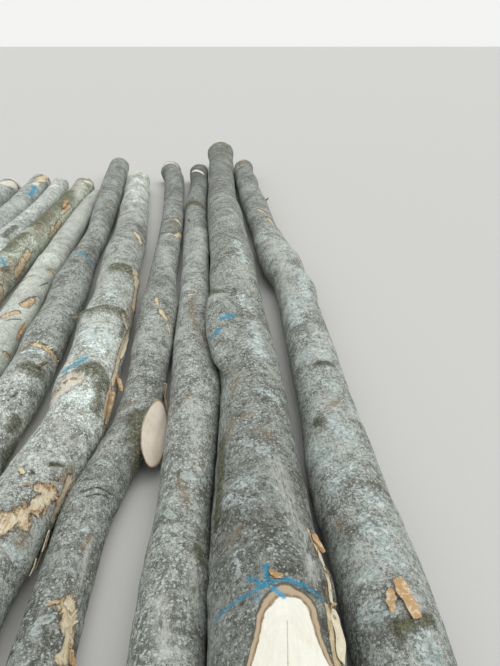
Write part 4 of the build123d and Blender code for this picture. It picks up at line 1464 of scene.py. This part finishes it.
smallPieces = {
    # chips lying on the outermost log
    "chipLong": ("log_01", "chip", 0.021, 0.006, 0.25, 0.55, [
        (0.395, 88, 0.006), (0.33, 84, 0.01), (0.235, 80, 0.008),
    ]),
    "chipShort": ("log_01", "chip", 0.014, 0.005, 0.2, 0.9, [
        (0.355, 97, 0.01), (0.325, 99, 0.007), (0.265, 102, 0.008),
    ]),
    # bark torn along the flanks of the thickest log
    "strapLeft": ("log_03", "bark", 0.01, 0.004, -0.4, 0.5, [
        (2.33, 74, 0.01), (2.1, 50, 0.012), (1.96, 18, 0.01),
    ]),
    "strapRight": ("log_02", "wood", 0.013, 0.003, 0.2, 0.45, [
        (0.78, 35, 0.001), (0.7, 33, 0.002), (0.62, 32, 0.002), (0.53, 34, 0.001),
    ]),
    "strapLower": ("log_02", "wood", 0.016, 0.003, 0.3, 0.5, [
        (0.54, 34, 0.001), (0.46, 33, 0.004), (0.36, 34, 0.002),
    ]),
    "flapRight": ("log_02", "chip", 0.012, 0.003, 0.9, 0.6, [
        (0.81, 37, 0.001), (0.775, 34, 0.003), (0.745, 30, 0.008), (0.73, 29, 0.015),
    ]),
    "chipTop": ("log_02", "bast", 0.008, 0.002, 0.3, 0.8, [
        (0.6, 93, 0.005), (0.585, 86, 0.008), (0.575, 80, 0.004),
    ]),
    # flaps and straps on the log with the great collars
    "flapCollar": ("log_05", "chip", 0.022, 0.004, 0.6, 0.7, [
        (1.76, 12, 0.003), (1.7, 8, 0.012), (1.65, 4, 0.026),
    ]),
    "strapCollar": ("log_05", "bast", 0.02, 0.003, 0.35, 0.5, [
        (1.64, 16, 0.002), (1.52, 14, 0.005), (1.38, 6, 0.003),
    ]),
    "strapFlank": ("log_05", "wood", 0.018, 0.003, 0.3, 0.5, [
        (2.3, 2, 0.002), (2.1, 12, 0.005), (1.94, 16, 0.003),
    ]),
    # splinters caught between two logs
    "splinterGrey": ("log_05", "bark", 0.012, 0.005, 0.3, 0.7, [
        (0.8, -6, 0.004), (0.73, -12, 0.012), (0.64, -16, 0.016),
    ]),
    "splinterPale": ("log_05", "wood", 0.012, 0.004, 0.3, 0.8, [
        (0.8, -2, 0.004), (0.755, -8, 0.01), (0.71, -10, 0.014),
    ]),
    "splinterLow": ("log_05", "wood", 0.01, 0.003, 0.3, 0.8, [
        (0.69, -8, 0.006), (0.655, -12, 0.01), (0.62, -14, 0.008),
    ]),
    "twigAcross": ("log_04", "chip", 0.006, 0.005, 0.2, 0.4, [
        (0.5, 92, 0.004), (0.51, 80, 0.006), (0.52, 66, 0.003),
    ]),
    "flapDrawn": ("log_04", "bast", 0.012, 0.0025, 0.6, 0.7, [
        (0.4, 24, 0.002), (0.36, 18, 0.008), (0.34, 8, 0.014),
    ]),
    "lipLimb": ("log_04", "bast", 0.012, 0.004, 0.5, 0.6, [
        (1.84, 16, 0.003), (1.72, 4, 0.008), (1.62, 0, 0.012),
    ]),
    # loose bark at the broken places of the logs further off
    "shardFirst": ("log_08", "bast", 0.02, 0.006, 0.6, 0.7, [
        (5.6, 62, 0.004), (5.46, 60, 0.018), (5.3, 55, 0.014),
    ]),
    "shardSecond": ("log_08", "bark", 0.014, 0.005, 0.8, 0.6, [
        (3.62, 40, 0.006), (3.54, 48, 0.02), (3.5, 58, 0.008),
    ]),
    "shardThird": ("log_10", "wood", 0.026, 0.006, 0.6, 0.7, [
        (6.52, 62, 0.004), (6.62, 48, 0.02), (6.74, 36, 0.014),
    ]),
    "shardFourth": ("log_07", "bast", 0.012, 0.004, 0.6, 0.7, [
        (2.62, 20, 0.004), (2.72, 26, 0.016), (2.84, 24, 0.006),
    ]),
}

for pieceName, (node, finish, halfWidth, thick, curl, frayed, path) in smallPieces.items():
    gathered(pieceName, [makeStrip(pieceName, node, path, halfWidth, thick, finish, curl, frayed)])
print("strips, chips and splinters lie in place")


# fibres: the share of their reach that they have, how far they turn, how far they stand off the bark halfway
# and at the tip, and how wide and thick they are. a pair is the least and how much chance adds

fibreSetup = {
    "reach": (0.5, 1.2),
    "turn": 14,
    "leans": (-1, -1, 1),  # most lean towards the butt
    "middleAt": 0.5,
    "middleTurn": 0.4,
    "rootLift": 0.001,
    "middleLift": (0.002, 0.004),
    "tipLift": (0.004, 0.014),
    "halfWidth": (0.003, 0.004),
    "thick": 0.0016,
    "curl": 0.2,
    "frayed": 0.9,
    "steps": 8,
}


def frayedEdge(node, path, count, reach, finish, seed):
    # a row of short fibres standing off a torn edge
    chance = random.Random(seed)

    def byChance(name):
        least, more = fibreSetup[name]
        return least + more * chance.random()

    strips = []
    for number in range(count):
        share = (number + chance.random()) / count * (len(path) - 1)
        step = min(int(share), len(path) - 2)
        (along0, angle0), (along1, angle1) = path[step], path[step + 1]
        along = along0 + (along1 - along0) * (share - step)
        angle = angle0 + (angle1 - angle0) * (share - step)
        length = reach * chance.uniform(*fibreSetup["reach"])
        turn = chance.uniform(-fibreSetup["turn"], fibreSetup["turn"])
        lean = chance.choice(fibreSetup["leans"])
        fibre = [
            (along, angle, fibreSetup["rootLift"]),
            (
                along + lean * length * fibreSetup["middleAt"], angle + turn * fibreSetup["middleTurn"],
                byChance("middleLift"),
            ),
            (along + lean * length, angle + turn, byChance("tipLift")),
        ]
        strips.append(makeStrip(
            "%s_fibre%d" % (node, number), node, fibre, byChance("halfWidth"), fibreSetup["thick"], finish,
            fibreSetup["curl"], fibreSetup["frayed"], fibreSetup["steps"],
        ))
    return strips


# name: (log, finish, how many fibres, their reach, the torn edge as on a mark)

frayedEdges = {
    "fibresDrawn": ("log_04", "wood", 12, 0.022, [(0.53, 62), (0.52, 44), (0.47, 34), (0.40, 22)]),
    "fibresGreat": ("log_05", "bast", 9, 0.022, [(0.90, 66), (0.935, 47), (0.93, 31), (0.90, 20)]),
    "fibresPeeled": ("log_05", "bast", 9, 0.022, [(1.60, 97), (1.585, 112), (1.56, 128), (1.53, 142)]),
    "fibresArc": ("log_06", "wood", 7, 0.022, [(2.27, 84), (2.26, 56), (2.25, 26), (2.27, -2)]),
    "fibresEdge": ("log_02", "chip", 7, 0.022, [(0.80, 34), (0.70, 31), (0.60, 29), (0.48, 38)]),
    "fibresLow": ("log_05", "bast", 5, 0.020, [(0.78, 55), (0.80, 44), (0.79, 36)]),
}
for seed, (pieceName, (node, finish, count, reach, path)) in enumerate(frayedEdges.items()):
    gathered(pieceName, frayedEdge(node, path, count, reach, finish, seed))
print("torn edges are frayed")


stubSetup = {
    "sunk": 0.012,
    "taper": 0.62,
    "brokenAt": 0.92,
    "brokenWay": (0.5, 0.2, 0.1),
    "bendSize": 0.05,
    "bend": 0.5,
    "creaseAngle": 50,
}


def makeStub(name, node, along, angle, lean, length, radius):
    # a broken twig: a cone with a few bends, its root sunk in the bark
    root, out = onSkin(node, along, angle, -stubSetup["sunk"])
    way = (Vector(out) + Vector(lean)).normalized()
    bpy.ops.object.select_all(action="DESELECT")
    bpy.ops.mesh.primitive_cone_add(
        vertices=12, radius1=radius, radius2=radius * stubSetup["taper"], depth=length,
        location=Vector(root) + way * length / 2, rotation=way.to_track_quat("Z", "Y").to_euler(),
    )
    stub = bpy.context.object
    stub.name = name
    bpy.ops.object.transform_apply(location=True, rotation=True, scale=True)
    bpy.ops.object.mode_set(mode="EDIT")
    bpy.ops.mesh.select_all(action="SELECT")
    bpy.ops.mesh.bisect(
        plane_co=Vector(root) + way * length * stubSetup["brokenAt"],
        plane_no=way + Vector(stubSetup["brokenWay"]), use_fill=True, clear_outer=True,
    )
    bpy.ops.mesh.select_all(action="SELECT")
    bpy.ops.mesh.subdivide(number_cuts=2)
    bpy.ops.object.mode_set(mode="OBJECT")
    stub.data.materials.append(finishes["bark"])
    lumpBy(stub, "bends", stubSetup["bendSize"], radius * stubSetup["bend"])
    applyAll(stub)
    bpy.ops.object.shade_smooth_by_angle(angle=math.radians(stubSetup["creaseAngle"]))
    return stub


# name: (log, metres from the butt, degrees round the log, lean, length, radius)

stubs = {
    "stubMossy": ("log_06", 2.02, 52, (0.9, -0.2, 0.1), 0.085, 0.013),
    "stubCollar": ("log_05", 2.34, 142, (-0.2, 0.3, 0.5), 0.060, 0.014),
    "stubFar": ("log_03", 4.60, 120, (-0.2, 0.2, 0.3), 0.045, 0.012),
    "stubBeside": ("log_01", 5.30, 30, (0.2, 0.1, 0.3), 0.050, 0.013),
}
for pieceName, (node, *stub) in stubs.items():
    gathered(pieceName, [makeStub(pieceName, node, *stub)])
print("twig stubs stand in place")
